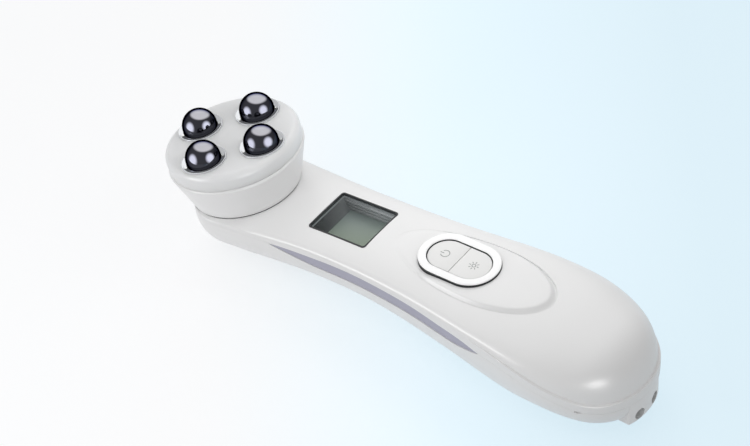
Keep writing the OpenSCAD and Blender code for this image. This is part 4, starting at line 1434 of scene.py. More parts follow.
    def pad_lump(self, name: str, rows: Sequence[tuple[float, float, float]]) -> bpy.types.Object:
        """A closed lump with the pad's plan outline, whose height fades out towards the head.

        Args:
            name: Name of the piece.
            rows: Share of the outline, height over the skin, and what is added where the pad is full.

        Returns:
            The closed lump.
        """
        form, count = self.form, 144
        rings: list[list[Point]] = []
        for share, flat, grow in rows:
            ring: list[Point] = []
            for k in range(count):
                angle = 2 * math.pi * k / count
                c, s = math.cos(angle), math.sin(angle)
                u = self.pad_mid + (self.pad_tail if c > 0 else self.pad_head) * c * share
                v = self.pad_half * s * share
                x = form.nose_x + KEY_IN + u
                ring.append((x, v, form.top_z(x, v) + flat + grow * ease((u + 18) / 20)))
            rings.append(ring)
        return smooth(stack(name, rings), 40)

    def pad(self) -> bpy.types.Object:
        """The raised pad round the keys, as a closed lump."""
        full, foot = self.pad_h - 0.18, -self.pad_trough
        rows = [(0.05, -0.9, 0.0), (0.5, -0.9, 0.0), (0.985, -0.9, 0.0)]
        for t in (0.0, 0.12, 0.25, 0.38, 0.5, 0.62, 0.75, 0.88, 1.0):
            e = ease(t)
            rows.append((0.985 - 0.09 * t, -0.02 + 0.2 * e, foot + (full - foot) * 0.97 * e))
        rows += [(0.885, 0.18, full * 0.99), (0.872, 0.18, full), (0.855, 0.18, full * 1.004)]
        return self.pad_lump("pad_tool", rows + [(k, 0.18, full) for k in (0.8, 0.65, 0.5, 0.3, 0.05)])

    def trough(self) -> bpy.types.Object:
        """What is cut from the skin, so that the pad's slope ends in a fine lip."""
        low = -self.pad_trough - 0.01
        rows = [(0.05, -0.03, low), (0.5, -0.03, low), (0.99, -0.03, low), (0.995, -0.02, low * 0.5),
                (1.0, 0.0, 0.0), (1.006, 1.5, 0.0), (0.5, 1.5, 0.0), (0.05, 1.5, 0.0)]
        return self.pad_lump("trough_tool", rows)

    def upper(self) -> bpy.types.Object:
        """Build the upper shell.

        Returns:
            The finished piece.
        """
        form = self.form
        shares = [(i + 1) / (self.rows + 1) for i in range(self.rows)]
        outer = [self.top_row(form.row_x(s)) for s in shares]
        inner = [self.inner_row(form.row_x(s, self.wall), 0, 180) for s in shares]
        shell = self.half_shell("upper_shell", outer, inner, self.seam / 2)
        skins = [SkinNormals(shell)]
        carve(shell, self.trough())
        pad = self.pad()
        skins.append(SkinNormals(pad))
        carve(shell, pad, "UNION")
        seat = lathe("seat_tool", [(0, -3.0), (17.4, -3.0), (19.0, -0.4), (0, -0.4)], HEAD_FRAME, 128)
        carve(shell, seat, "UNION")
        carve(shell, rod("neck_tool", 19.3, -0.4, 12, HEAD_FRAME, steps=160))
        carve(shell, rod("cable_tool", 4, -8, 3, HEAD_FRAME))
        opening = round_rect(23.7, 19.3, 1.2)
        carve(shell, prism("display_tool", opening, -8, 4, DISPLAY_FRAME))
        seat_loop = stadium(29.0, 19.4)
        carve(shell, prism("ring_tool", seat_loop, -1.4, 5, KEY_FRAME))
        deep_loop = stadium(25.6, 16.0)
        carve(shell, prism("key_tool", deep_loop, -9, 0, KEY_FRAME))
        self.cut_strips(shell)
        smooth(shell, 30)
        keep_gloss(shell, skins)
        return self.seat(shell, "white_shell", "top_shell")

    def block_outline(self, grow: float = 0.0) -> Loop:
        """Plan outline of the socket block, whose face follows the tail."""
        form, half, tip, steps = self.form, 8.5, self.form.tail_x - 0.2, 16
        back, corner = form.tail_x - 12, 91.5752
        face = [(tip - (tip - corner) * (1 - k / steps) ** 2) for k in range(steps + 1)]
        near = [(x + 60 * grow, -form.half_w(x, 0.2) - grow) for x in face]
        far = [(x, -y) for x, y in reversed(near[:-1])]
        return [(back - grow, -half - grow)] + near + far + [(back - grow, half + grow)]

    def lower(self) -> bpy.types.Object:
        """Build the lower shell.

        Returns:
            The finished piece.
        """
        form = self.form
        shares = [(i + 1) / (self.rows + 1) for i in range(self.rows)]
        outer = [self.under_row(form.row_x(s)) for s in shares]
        inner = [self.inner_row(form.row_x(s, self.wall), 180, 360) for s in shares]
        shell = self.half_shell("lower_shell", outer, inner, -self.seam / 2)
        skins = [SkinNormals(shell)]
        posts = [(form.nose_x + u, v) for u, v in POST_PLACES]
        for x, y in posts:
            low = form.floor_z(x, y, 0.9)
            carve(shell, rod("post_tool", 3.2, low, form.rim_z(x) - 0.05, upright(x, y)), "UNION")
        self.cut_strips(shell)
        low, high = -3.05, -0.4
        carve(shell, rod("seat_tool", 17.5, low, high, HEAD_FRAME, 19.1, 128))
        carve(shell, rod("neck_tool", 19.3, -0.41, 12, HEAD_FRAME, steps=160))
        pry = form.tail_x - 12.5
        y, z = -form.side_y(pry, form.rim_z(pry)), form.rim_z(pry)
        carve(shell, block("pry_tool", (pry - 1.6, y - 1, z - 0.6), (pry + 1.6, y + 0.7, z + 0.4)))
        for x, y in posts:
            seat = form.floor_z(x, y) + SCREW_SEAT
            carve(shell, rod("screw_tool", 2.35, -2, seat, upright(x, y)))
            carve(shell, rod("shank_tool", 1.35, seat - 1, 40, upright(x, y)))
        loop = self.block_outline(0.05)
        carve(shell, prism("block_tool", loop, 7.25, 27))
        carve(shell, block("foot_tool", (-180, -40, -5), (180, 40, 0)))
        smooth(shell, 30)
        keep_gloss(shell, skins)
        return self.seat(shell, "white_shell", "bottom_shell")

    def socket_block(self) -> bpy.types.Object:
        """Build the block with the two charging sockets."""
        loop = self.block_outline()
        item = prism("socket_block_skin", loop, 7.3, 16.6736)
        bevel(item, 0.7, 5, 50)
        face = Matrix.Rotation(math.radians(90), 4, "Y")
        for side in Side:
            at = Matrix.Translation((self.form.tail_x - 0.7, side.value * self.socket_y, self.socket_z)) @ face
            carve(item, rod("socket_tool", self.socket_r, -7.5, 3, at, steps=64))
            carve(item, rod("pin_tool", 1.8, -8.3, -7, at))
            carve(item, rod("pin_way_tool", 1.05, -20, -8, at))
        self.seat(smooth(item, 35), "white_shell", "socket_block")
        # Painted shade: the faces inside the socket bores take a darker finish than the block.
        item.data.materials.append(self.book.of("socket_shade"))
        for side in Side:
            for face in item.data.polygons:
                y, z = face.center.y / MM - side.value * self.socket_y, face.center.z / MM - self.socket_z
                if math.hypot(y, z) < self.socket_r + 0.01 and face.center.x / MM < self.form.tail_x - 0.9:
                    face.material_index = 1
        return item

    def strips(self) -> None:
        """Build the two inlaid strips."""
        for side, node in ((Side.LEFT, "side_strip_left"), (Side.RIGHT, "side_strip_right")):
            depth = self.strip_sink
            item = self.strip_form(node + "_inlay", side, 0.0, depth, depth + self.strip_t)
            self.seat(smooth(item, 40), "strip_grey", node)

    def build(self) -> None:
        """Build the whole sub-assembly."""
        self.upper()
        self.lower()
        self.socket_block()
        self.strips()


# ------------------------------------------------------------------ head
@dataclass
class Head(Assembly):
    """The tilted head: cup, frosted cap, four contact balls and their collars."""

    neck_r: float = 19.0
    cup_r: float = 23.9
    cup_h: float = 14.2
    rim_r: float = 0.8
    cap_r: float = 23.285
    cap_h: float = 5.8
    cap_round: float = 2.2
    cap_wall: float = 2.2
    ball_r: float = 6.0
    ball_out: float = 14.1
    ball_rise: float = 1.0
    collar_r: float = 7.0
    collar_lip: float = 0.75
    collar_soft: float = 0.22
    collar_rise: float = 0.42

    @property
    def top(self) -> float:
        """Height of the cap's face above the seat."""
        return self.cup_h + self.cap_h

    def cup(self) -> bpy.types.Object:
        """Build the flared cup with its soft rim."""
        lean = math.atan((self.cup_r - self.neck_r) / self.cup_h)
        mid_z = self.cup_h - self.rim_r
        at_z = mid_z - self.rim_r * math.sin(lean)
        mid_r = self.neck_r + math.tan(lean) * at_z - self.rim_r * math.cos(lean)
        outline = [(4.0, 0.0), (self.neck_r - 0.15, 0.0), (self.neck_r + 0.05, 0.18)]
        outline += [(self.neck_r + math.tan(lean) * at_z * k / 8, at_z * k / 8) for k in range(1, 8)]
        for k in range(9):
            turn = -lean + (math.pi / 2 + lean) * k / 8
            outline.append((mid_r + self.rim_r * math.cos(turn), mid_z + self.rim_r * math.sin(turn)))
        outline += [(21.9, self.cup_h), (19.65, 8.0), (17.2, 8.0), (17.2, 2.0), (4.0, 2.0)]
        item = lathe("head_cup_skin", outline, HEAD_FRAME, 192)
        return self.seat(smooth(item, 30), "white_shell", "head_cup")

    def cap(self) -> bpy.types.Object:
        """Build the frosted cap with its four holes."""
        inner = self.cap_r - self.cap_wall - 0.6
        low = self.cup_h + 0.01
        outline = [(0.0, self.top - self.cap_wall), (inner, self.top - self.cap_wall), (inner, 13.0),
                   (21.15, 13.0), (21.6, low), (self.cap_r - 0.4, low), (self.cap_r - 0.12, low + 0.12),
                   (self.cap_r, low + 0.4), (self.cap_r, low + 1.4), (self.cap_r, low + 2.4)]
        for k in range(13):
            turn = math.pi / 2 * k / 12
            outline.append((self.cap_r - self.cap_round * (1 - math.cos(turn)),
                            self.top - self.cap_round * (1 - math.sin(turn))))
        outline += [(18.0, self.top), (14.0, self.top), (9.0, self.top), (4.0, self.top), (0.0, self.top)]
        item = lathe("frosted_cap_skin", outline, HEAD_FRAME, 192)
        skins = [SkinNormals(smooth(item, 35))]
        for turn in range(4):
            at = spun(HEAD_FRAME, 90 * turn, self.ball_out, self.top)
            carve(item, rod("ball_tool", self.ball_r + 0.2, -5, 5, at, steps=96))
            carve(item, rod("collar_tool", self.collar_r + 0.05, -1.2, 4, at, steps=96))
        smooth(item, 35)
        keep_gloss(item, skins)
        return self.seat(item, "frosted_cap", "head_diffuser")

    def collars(self) -> None:
        """Build the dish-shaped collar round each ball."""
        r, hole = self.collar_r, self.ball_r + 0.1
        edge, soft, lip = r + self.collar_lip, self.collar_soft, self.collar_rise - self.collar_soft
        outline = [(hole, -1.2), (r, -1.2), (r, 0.01), (edge - 0.05, 0.01), (edge, 0.06), (edge, lip)]
        outline += [(edge - soft * (1 - math.cos(t)), lip + soft * math.sin(t))
                    for t in EDGE_TURNS[1:]]
        dish = edge - soft - hole
        outline += [(hole + dish * (1 - t), -0.05 + (self.collar_rise + 0.05) * (1 - t) ** 1.7)
                    for t in (0.12, 0.26, 0.42, 0.6, 0.8, 1.0)]
        for name, turn in BALL_TURNS:
            at = spun(HEAD_FRAME, turn, self.ball_out, self.top)
            item = smooth(lathe(f"collar_{name}_dish", outline, at, 96), 40)
            self.seat(item, "white_gloss", f"collar_{name}", finish="collar_gloss")

    def ball_tree(self) -> NodeTree:
        """Node tree of a contact ball on its shouldered stem."""
        tree = NodeTree("contact_ball")
        tree.size("Ball Radius", 0.006)
        tree.size("Shoulder Radius", 0.0025)
        tree.size("Stem Radius", 0.0015)
        tree.size("Shoulder Length", 0.011)
        tree.size("Stem Length", 0.0162)
        ball = tree.node("MeshUVSphere", Radius=tree.named("Ball Radius"), Segments=96, Rings=64)
        join = tree.add("GeometryNodeJoinGeometry")
        tree.link(ball.outputs["Mesh"], join.inputs[0])
        for part in ("Shoulder", "Stem"):
            bar = tree.node("MeshCylinder", Vertices=48, Radius=tree.named(part + " Radius"),
                            Depth=tree.named(part + " Length"))
            tree.link(tree.shifted(bar, part + " Length", -0.5).outputs[0], join.inputs[0])
        soft = tree.node("SetShadeSmooth", Geometry=join.outputs[0])
        tree.finish(soft.outputs[0], self.book.of("ball_metal"))
        return tree

    def balls(self) -> None:
        """Build the four contact balls."""
        tree = self.ball_tree()
        for name, turn in BALL_TURNS:
            at = spun(HEAD_FRAME, turn, self.ball_out, self.top + self.ball_rise)
            item = new_object(f"electrode_{name}_ball", [at.translation], [])
            tree.run(item, Turn=HEAD_FRAME.to_euler())
            self.seat(item, "ball_metal", f"electrode_{name}")

    def build(self) -> None:
        """Build the whole sub-assembly."""
        self.cup()
        self.cap()
        self.collars()
        self.balls()


# ------------------------------------------------------------------ display
@dataclass
class Display(Assembly):
    """The display: dark bezel, clear window, deep well and its stepped far wall."""

    length: float = 22.6
    width: float = 18.2
    frame_t: float = 0.5
    glass_in: float = 0.2
    glass_t: float = 1.0
    depth: float = 6.2
    ledge: float = 0.5
    slope: float = 2.0

    def bezel(self) -> bpy.types.Object:
        """Build the dark bezel that shows as a thin outline."""
        out = round_rect(self.length + 2 * self.frame_t, self.width + 2 * self.frame_t, 1.15)
        trim = round_rect(self.length + 2 * self.frame_t - 0.12, self.width + 2 * self.frame_t - 0.12, 1.1)
        hole = round_rect(self.length, self.width, 0.8)
        low = -self.glass_in - self.glass_t - 0.25
        item = hollow_stack("display_bezel", [(out, low), (out, -self.glass_in - 0.06), (trim, -self.glass_in)],
                            [(hole, -self.glass_in), (hole, low)], DISPLAY_FRAME)
        return self.seat(smooth(item, 35), "dark_trim", "lcd_frame")

    def ledge_ring(self) -> bpy.types.Object:
        """Build the pale ledge that the window rests on."""
        out = round_rect(self.length - 0.02, self.width - 0.02, 0.8)
        hole = round_rect(self.length - 2 * self.ledge, self.width - 2 * self.ledge, 0.6)
        top = -self.glass_in - self.glass_t - 0.05
        item = hollow_stack("display_ledge", [(out, top - 0.2), (out, top)], [(hole, top), (hole, top - 0.2)],
                            DISPLAY_FRAME)
        return self.seat(smooth(item, 35), "dark_trim", "lcd_frame", finish="display_ledge")

    def well(self) -> bpy.types.Object:
        """Build the smoky liner of the well, whose finish paints the well's shade."""
        out = round_rect(self.length + 0.96, self.width + 0.96, 1.1)
        length, width = self.length - 2 * self.ledge, self.width - 2 * self.ledge
        hole = round_rect(length, width, 0.6)
        deep = [(x + self.slope / 2, y) for x, y in round_rect(length - self.slope, width, 0.6)]
        top, low = -self.glass_in - self.glass_t - 0.26, -self.depth
        item = hollow_stack("display_well", [(out, low), (out, top)], [(hole, top), (deep, low)], DISPLAY_FRAME)
        return self.seat(smooth(item, 35), "dark_trim", "lcd_frame", finish="display_well")

    def steps(self) -> bpy.types.Object:
        """Build the ribs along the far wall of the well."""
        tree = NodeTree("well_ribs")
        tree.size("Count", 3, "NodeSocketInt")
        tree.size("Rib Size", (0.0204, 0.0006, 0.00055), "NodeSocketVector")
        tree.size("Pitch", (0.0, 0.0, -0.0013), "NodeSocketVector")
        rib = tree.node("MeshCube", Size=tree.named("Rib Size"))
        row = tree.node("MeshLine", Count=tree.named("Count"), Offset=tree.named("Pitch"))
        copy = tree.node("InstanceOnPoints", Points=row.outputs[0], Instance=rib.outputs[0])
        tree.finish(copy.outputs[0], self.book.of("display_well"))
        wall = self.width / 2 - self.ledge
        item = new_object("display_well_ribs", [DISPLAY_FRAME @ Vector((0, wall - 0.28, -2.1))], [])
        tree.run(item, Turn=DISPLAY_FRAME.to_euler())
        return self.seat(item, "dark_trim", "lcd_frame", finish="display_well")

    def window(self) -> bpy.types.Object:
        """Build the clear window with its softened edge."""
        full, top = round_rect(self.length - 0.1, self.width - 0.1, 0.75), -self.glass_in
        trim = round_rect(self.length - 0.4, self.width - 0.4, 0.62)
        rings = [flat_ring(full, top - self.glass_t), flat_ring(full, top - 0.15), flat_ring(trim, top)]
        return self.seat(smooth(stack("display_window", rings, DISPLAY_FRAME), 30), "clear_window", "lcd_window")

    def build(self) -> None:
        """Build the whole sub-assembly."""
        self.bezel()
        self.ledge_ring()
        self.well()
        self.steps()
        self.window()


# ------------------------------------------------------------------ keys
@dataclass
class Keys(Assembly):
    """The raised ring with its dark skirt, which paints the shade in the gaps round the ring, the two keys and
    their plain marks.
    """

    length: float = 22.6
    width: float = 13.0
    gap: float = 0.3
    ring_w: float = 2.75
    ring_h: float = 0.9
    rise: float = 0.45
    split: float = 0.2
    skirt_h: float = 0.52
    press_u: float = 6.0

    def ring(self) -> None:
        """Build the white ring and the dark skirt under it, painted shade that shows in the gaps round the ring."""
        out_l, out_w = self.length + 2 * (self.gap + self.ring_w), self.width + 2 * (self.gap + self.ring_w)
        in_l, in_w = self.length + 2 * self.gap, self.width + 2 * self.gap
        top, low = self.ring_h, self.skirt_h

        def around(inset: float) -> Loop:
            """Outer outline at an inset."""
            return stadium(out_l - 2 * inset, out_w - 2 * inset)

        def within(outset: float) -> Loop:
            """Inner outline at an outset."""
            return stadium(in_l + 2 * outset, in_w + 2 * outset)

        outside = [(around(0.06), low), (around(0.0), low + 0.06)]
        outside += [(around(0.26 * (1 - math.cos(t))), top - 0.26 + 0.26 * math.sin(t))
                    for t in EDGE_TURNS]
        inside = [(within(0.26 * (1 - math.cos(t))), top - 0.26 + 0.26 * math.sin(t))
                  for t in EDGE_TURNS[::-1]]
        inside += [(within(0.0), low + 0.06), (within(0.06), low)]
        item = hollow_stack("key_ring_cap", outside, inside, KEY_FRAME)
        self.seat(smooth(item, 40), "white_gloss", "key_ring")
        # Painted shade: the skirt takes a dark finish instead of the ring's white, so the gaps round the ring read
        # dark.
        skirt = hollow_stack("key_ring_skirt", [(around(0.02), -1.4), (around(0.02), low)],
                             [(within(0.02), low), (within(0.02), -1.4)], KEY_FRAME)
        self.seat(smooth(skirt, 35), "white_gloss", "key_ring", finish="dark_trim")

    def half_loop(self, side: int, length: float, width: float, cut: float) -> Loop:
        """Plan outline of one half of a stadium, anticlockwise."""
        radius, reach = width / 2, length / 2 - width / 2
        loop: Loop = [(cut, -radius)]
        for k in range(41):
            angle = math.radians(-90 + 180 * k / 40)
            loop.append((reach + radius * math.cos(angle), radius * math.sin(angle)))
        loop.append((cut, radius))
        return loop if side > 0 else [(-x, -y) for x, y in loop]

    def key(self, name: str, side: int, body: Body) -> bpy.types.Object:
        """Build one key.

        Args:
            name: Name of the CAD node.
            side: 1 towards the tail, -1 towards the head.
            body: Body that it moves with.

        Returns:
            The finished key.
        """
        soft = 0.28
        rings = [flat_ring(self.half_loop(side, self.length, self.width, self.split / 2), -1.6)]
        for t in EDGE_TURNS:
            inset = soft * (1 - math.cos(t))
            loop = self.half_loop(side, self.length - 2 * inset, self.width - 2 * inset, self.split / 2 + inset / 2)
            rings.append(flat_ring(loop, self.rise - soft + soft * math.sin(t)))
        item = stack(name + "_cap", rings, KEY_FRAME)
        loop = self.half_loop(side, self.length + 2.4, self.width + 2.4, 0.175)
        carve(item, prism("flange_tool", loop, -2.5, -1.55, KEY_FRAME), "UNION")
        at = KEY_FRAME @ Matrix.Translation((side * self.press_u, 0, 0))
        carve(item, rod("stem_tool", 1.7, -4.0, -2.4, at), "UNION")
        return self.seat(smooth(item, 32), "key_grey", name, body=body)

    def mark(self, name: str, loops: Sequence[Loop], side: int, body: Body) -> bpy.types.Object:
        """Print a flat mark on a key.

        Args:
            name: Name of the mark.
            loops: Closed plan outlines of its strokes.
            side: Key that it lies on.
            body: Body that it moves with.

        Returns:
            The finished mark.
        """
        at = KEY_FRAME @ Matrix.Translation((side * 5.6, 0, 0)) @ Matrix.Rotation(math.radians(90), 4, "Z")
        verts: list[Point] = []
        faces: list[list[int]] = []
        low, high = self.rise - 0.02, self.rise + 0.012
        for loop in loops:
            base, count = len(verts), len(loop)
            verts += flat_ring(loop, low) + flat_ring(loop, high)
            for k in range(count):
                after = (k + 1) % count
                faces.append([base + k, base + after, base + count + after, base + count + k])
            half = count // 2
            for k in range(half - 1):
                quad = [k, k + 1, count - 2 - k, count - 1 - k]
                faces.append([base + count + q for q in quad])
                faces.append([base + q for q in reversed(quad)])
        item = new_object(name, verts, faces, at)
        return self.seat(item, "key_grey", body=body, finish="mark_ink")

    @staticmethod
    def stroke(points: Sequence[tuple[float, float]], width: float) -> Loop:
        """Outline of a line of even width through points, as two matched sides."""
        left: Loop = []
        right: Loop = []
        for k, (x, y) in enumerate(points):
            ax, ay = points[max(0, k - 1)]
            bx, by = points[min(len(points) - 1, k + 1)]
            size = math.hypot(bx - ax, by - ay)
            nx, ny = -(by - ay) / size * width / 2, (bx - ax) / size * width / 2
            left.append((x + nx, y + ny))
            right.append((x - nx, y - ny))
        return right + left[::-1]

    def marks(self) -> None:
        """Print the standby sign on one key and a lamp sign on the other."""
        arc = [(1.45 * math.cos(math.radians(a)), 1.45 * math.sin(math.radians(a))) for a in range(125, 416, 10)]
        bar = [(0.0, 0.45), (0.0, 1.1), (0.0, 1.85)]
        self.mark("power_mark", [self.stroke(arc, 0.28), self.stroke(bar, 0.28)], -1, Body.POWER)
        disc = [(0.62 * math.cos(math.radians(a)), 0.62 * math.sin(math.radians(a))) for a in range(0, 361, 12)]
        rays = []
        for k in range(8):
            c, s = math.cos(math.pi * k / 4), math.sin(math.pi * k / 4)
            rays.append(self.stroke([(1.05 * c, 1.05 * s), (1.4 * c, 1.4 * s), (1.8 * c, 1.8 * s)], 0.26))
        self.mark("light_mark", [self.stroke(disc, 0.26)] + rays, 1, Body.LIGHT)

    def build(self) -> None:
        """Build the whole sub-assembly."""
        self.ring()
        self.key("power_key", -1, Body.POWER)
        self.key("light_key", 1, Body.LIGHT)
        self.marks()


# ------------------------------------------------------------------ screws
@dataclass
class Screws(Assembly):
    """The cross-recessed screws under the handle."""

    head_r: float = 0.0021
    head_h: float = 0.0016
    shank_r: float = 0.0011
    bite: float = 5.0

    def tree(self) -> NodeTree:
        """Node tree of a screw that points up, with its head below."""
        tree = NodeTree("cross_screw")
        tree.size("Head Radius", self.head_r)
        tree.size("Head Height", self.head_h)
        tree.size("Shank Radius", self.shank_r)
        tree.size("Shank Length", 0.01)
        head = tree.node("MeshCone", Vertices=40, Side_Segments=1, Radius_Bottom=self.head_r * 0.86,
                         Radius_Top=self.head_r, Depth=self.head_h * 0.45)
        shift = tree.node("Transform", Geometry=head.outputs["Mesh"], Translation=(0.0, 0.0, -self.head_h))
        rim = tree.node("MeshCylinder", Vertices=40, Radius=tree.named("Head Radius"), Depth=self.head_h * 0.56)
        rim_at = tree.node("Transform", Geometry=rim.outputs["Mesh"],
                           Translation=(0.0, 0.0, -self.head_h * 0.28))
        cut = tree.add("GeometryNodeMeshBoolean", operation="DIFFERENCE", solver="EXACT")
        tree.link(shift.outputs[0], cut.inputs[0])
        for size in ((0.0024, 0.0005, 0.0012), (0.0005, 0.0024, 0.0012)):
            slot = tree.node("MeshCube", Size=size)
            low = tree.node("Transform", Geometry=slot.outputs[0], Translation=(0.0, 0.0, -self.head_h))
            tree.link(low.outputs[0], cut.inputs[1])
        shank = tree.node("MeshCylinder", Vertices=24, Radius=tree.named("Shank Radius"),
                          Depth=tree.named("Shank Length"))
        shank_at = tree.shifted(shank, "Shank Length", 0.5)
        join = tree.add("GeometryNodeJoinGeometry")
        for part in (cut, rim_at, shank_at):
            tree.link(part.outputs[0], join.inputs[0])
        tree.finish(join.outputs[0], self.book.of("screw_steel"))
        return tree

    def build(self) -> None:
        """Place the screws that can be seen from below."""
        form = HANDLE
        places = []
        for u, v in POST_PLACES:
            x = form.nose_x + u
            places.append(Vector((x, v, form.floor_z(x, v) + SCREW_SEAT)))
        shank = min(form.rim_z(p.x) + self.bite - p.z for p in places)
        item = new_object("shell_screws_set", places, [])
        self.tree().run(item, Turn=Matrix.Identity(4).to_euler(), Shank_Length=shank * MM)
        self.seat(smooth(item, 35), "screw_steel", "shell_screws")


# ------------------------------------------------------------------ sealed inner parts
@dataclass
class InnerParts(Assembly):
    """CAD nodes that keep their own solid and only get a finish."""

    def build(self, nodes: dict[str, bpy.types.Object], record: dict) -> None:
        """Give every node the finish of its slot.

        Args:
            nodes: CAD nodes by name.
            record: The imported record.
        """
        for part in record["subparts"]:
            item = nodes[part["node"]]
            finish = self.book.of(part["material_slot"])
            if not item.material_slots:
                item.data.materials.append(finish)
            for slot in item.material_slots:
                slot.material = finish
            LOG.info("%s: kept with %s", item.name, finish.name)


# ------------------------------------------------------------------ studio
@dataclass
class Studio:
    """Pale table, soft lamps and the camera at the photograph's angle."""

    table_size: float = 6.0
    bright_side: Point = (-0.25, -0.9, 0.3)
    room_low: float = 0.5
    room_high: float = 0.72
    eye: Point = (0.362724, -0.438441, 0.600607)
    right: Point = (0.79650319, 0.60157916, -0.0607057)
    up: Point = (-0.38945241, 0.58724475, 0.7095565)
    forward: Point = (-0.46250351, 0.54152203, -0.70202877)
    lens: float = 120.0

    def table(self) -> None:
        """Lay the seamless table."""
        half = self.table_size / 2 / MM
        corners = [(-half, -half, -0.05), (half, -half, -0.05), (half, half, -0.05), (-half, half, -0.05)]
        floor = new_object("studio_table", corners, [[0, 1, 2, 3]])
        floor.data.materials.append(TableFinish().build())

    def world(self) -> None:
        """Light the room evenly, a little brighter from the head's far side."""
        world = bpy.data.worlds.new("studio_room")
        bpy.context.scene.world = world
        world.use_nodes = True
        tree = world.node_tree
        back = tree.nodes["Background"]
        way = tree.nodes.new("ShaderNodeTexCoord")
        lean = tree.nodes.new("ShaderNodeVectorMath")
        lean.operation = "DOT_PRODUCT"
        lean.inputs[1].default_value = self.bright_side
        tree.links.new(way.outputs["Generated"], lean.inputs[0])
        level = tree.nodes.new("ShaderNodeMapRange")
        level.inputs["From Min"].default_value = -1.0
        level.inputs["To Min"].default_value = self.room_low
        level.inputs["To Max"].default_value = self.room_high
        tree.links.new(lean.outputs["Value"], level.inputs["Value"])
        tree.links.new(level.outputs[0], back.inputs["Strength"])
        back.inputs["Color"].default_value = (1.0, 1.0, 1.0, 1.0)

    def lamp(self, name: str, way: Point, far: float, size: tuple[float, float], radiance: float,
             target: Point = (0.0, 0.0, 0.02), diffuse: bool = True, glossy: bool = True) -> bpy.types.Object:
        """Hang one soft lamp.

        Args:
            name: Name of the lamp.
            way: Direction from the target to the lamp.
            far: Distance from the target in metres.
            size: Its two sizes in metres.
            radiance: How bright its face is.
            target: Point that it faces.
            diffuse: Whether it lights matt surfaces.
            glossy: Whether it shows as a highlight.

        Returns:
            The new lamp.
        """
        data = bpy.data.lights.new(name, "AREA")
        data.shape = "ELLIPSE"
        data.size, data.size_y = size
        data.energy = radiance * math.pi * math.pi * size[0] * size[1] / 4
        item = bpy.data.objects.new(name, data)
        line = Vector(way).normalized()
        item.location = Vector(target) + line * far
        item.rotation_euler = line.to_track_quat("Z", "Y").to_euler()
        item.visible_diffuse, item.visible_glossy = diffuse, glossy
        item.visible_camera = False
        bpy.context.scene.collection.objects.link(item)
        return item

    @staticmethod
    def soften(item: bpy.types.Object, core: float) -> None:
        """Let a lamp's face fade towards its rim.

        Args:
            item: The lamp.
            core: Share of its width that stays fully bright.
        """
        item.data.use_nodes = True
        tree = item.data.node_tree
        place = tree.nodes.new("ShaderNodeNewGeometry")
        away = tree.nodes.new("ShaderNodeVectorMath")
        away.operation = "DISTANCE"
        away.inputs[1].default_value = (0.5, 0.5, 0.0)
        tree.links.new(place.outputs["Parametric"], away.inputs[0])
        fade = tree.nodes.new("ShaderNodeMapRange")
        fade.interpolation_type = "SMOOTHSTEP"
        fade.inputs["From Min"].default_value = 0.5
        fade.inputs["From Max"].default_value = 0.5 * core
        tree.links.new(away.outputs["Value"], fade.inputs["Value"])
        tree.links.new(fade.outputs[0], tree.nodes["Emission"].inputs["Strength"])

    @staticmethod
    def aim_at(lamps: Sequence[bpy.types.Object], name: str, pieces: Sequence[bpy.types.Object]) -> None:
        """Let lamps light only some pieces."""
        group = bpy.data.collections.new(name)
        for piece in pieces:
            group.objects.link(piece)
        for lamp in lamps:
            lamp.light_linking.receiver_collection = group

    def lamps(self) -> None:
        """Hang the softbox behind the head and the lamp over the keys."""
        self.lamp("key_softbox", (-0.55, 0.62, 0.5), 1.1, (0.9, 0.9), 0.8)
        self.lamp("keys_lamp", (-0.18, 0.4, 0.9), 0.11, (0.07, 0.07), 1.75, (0.02, 0.0, 0.03), glossy=False)
        self.lamp("near_fill_lamp", (-0.35, -0.85, 0.38), 0.32, (0.16, 0.16), 1.9, (-0.025, -0.02, 0.02),
                  glossy=False)

    def highlight_lamps(self, pieces: Sequence[bpy.types.Object]) -> None:
        """Hang the lamps that draw the spot on the tail and the line along the near shoulder.

        Args:
            pieces: The moulded pieces that show them.
        """
        spot = self.lamp("tail_highlight_lamp", (0.79, -0.6, 0.14), 0.9, (0.55, 0.45), 15.0, diffuse=False)
        line = self.lamp("ridge_highlight_lamp", (-0.55, -0.8, 0.2), 0.9, (0.5, 0.2), 18.0, diffuse=False)
        self.soften(spot, 0.3)
        self.aim_at((spot, line), "moulded_pieces", pieces)

    def ball_lamps(self, pieces: Sequence[bpy.types.Object]) -> None:
        """Hang the wide panel and the two round lamps that the contact balls mirror.

        Args:
            pieces: The pieces that mirror them.
        """
        heart = tuple(v * MM for v in (HEAD_FRAME @ Vector((0.0, 0.0, 21.0))))
        panel = self.lamp("mirror_panel", (-0.341, 0.53, 0.769), 0.5, (1.2, 1.5), 10.0, heart, diffuse=False)
        panel.data.color = (1.0, 0.98, 0.86)
        near = self.lamp("mirror_disc_near", (-0.443, -0.885, 0.138), 0.3, (0.43, 0.43), 13.0, heart, diffuse=False)
        tail = self.lamp("mirror_disc_tail", (0.928, 0.049, 0.366), 0.3, (0.43, 0.43), 13.0, heart, diffuse=False)
        self.soften(panel, 0.6)
        for disc in (near, tail):
            self.soften(disc, 0.35)
        self.aim_at((panel, near, tail), "mirror_pieces", pieces)

    def camera(self) -> None:
        """Set the camera where the photograph was taken from."""
        data = bpy.data.cameras.new("photo_camera")
        data.lens = self.lens
        data.sensor_width = 36.0
        data.clip_start = 0.01
        item = bpy.data.objects.new("photo_camera", data)
        turn = Matrix((self.right, self.up, [-v for v in self.forward])).transposed().to_4x4()
        item.matrix_world = Matrix.Translation(self.eye) @ turn
        bpy.context.scene.collection.objects.link(item)
        bpy.context.scene.camera = item

    def build(self) -> None:
        """Build the studio."""
        self.table()
        self.world()
        self.lamps()
        self.camera()
        bpy.context.scene.view_settings.view_transform = "Standard"


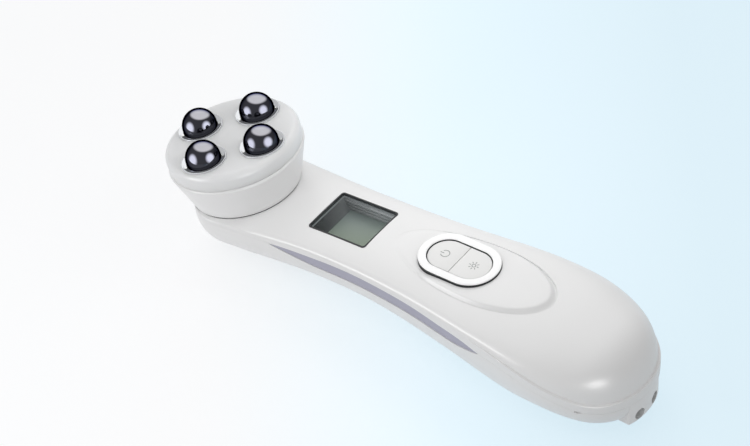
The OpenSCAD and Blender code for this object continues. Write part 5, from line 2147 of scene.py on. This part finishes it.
def main() -> None:
    """Build the studio and every sub-assembly in order."""
    logging.basicConfig(level=logging.INFO, format="%(name)s %(message)s")
    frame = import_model()
    studio = Studio()
    studio.build()
    book = FinishBook()
    InnerParts(book).build(frame["nodes"], frame["record"])
    for part in (HandleShells(book), Head(book), Display(book), Keys(book), Screws(book)):
        part.build()
    studio.ball_lamps([item for item in bpy.data.objects if item.name.endswith("_ball")])
    studio.highlight_lamps([item for item in bpy.data.objects if item.name.endswith(("_shell", "_skin", "_cap"))])


if __name__ == "__main__":
    main()
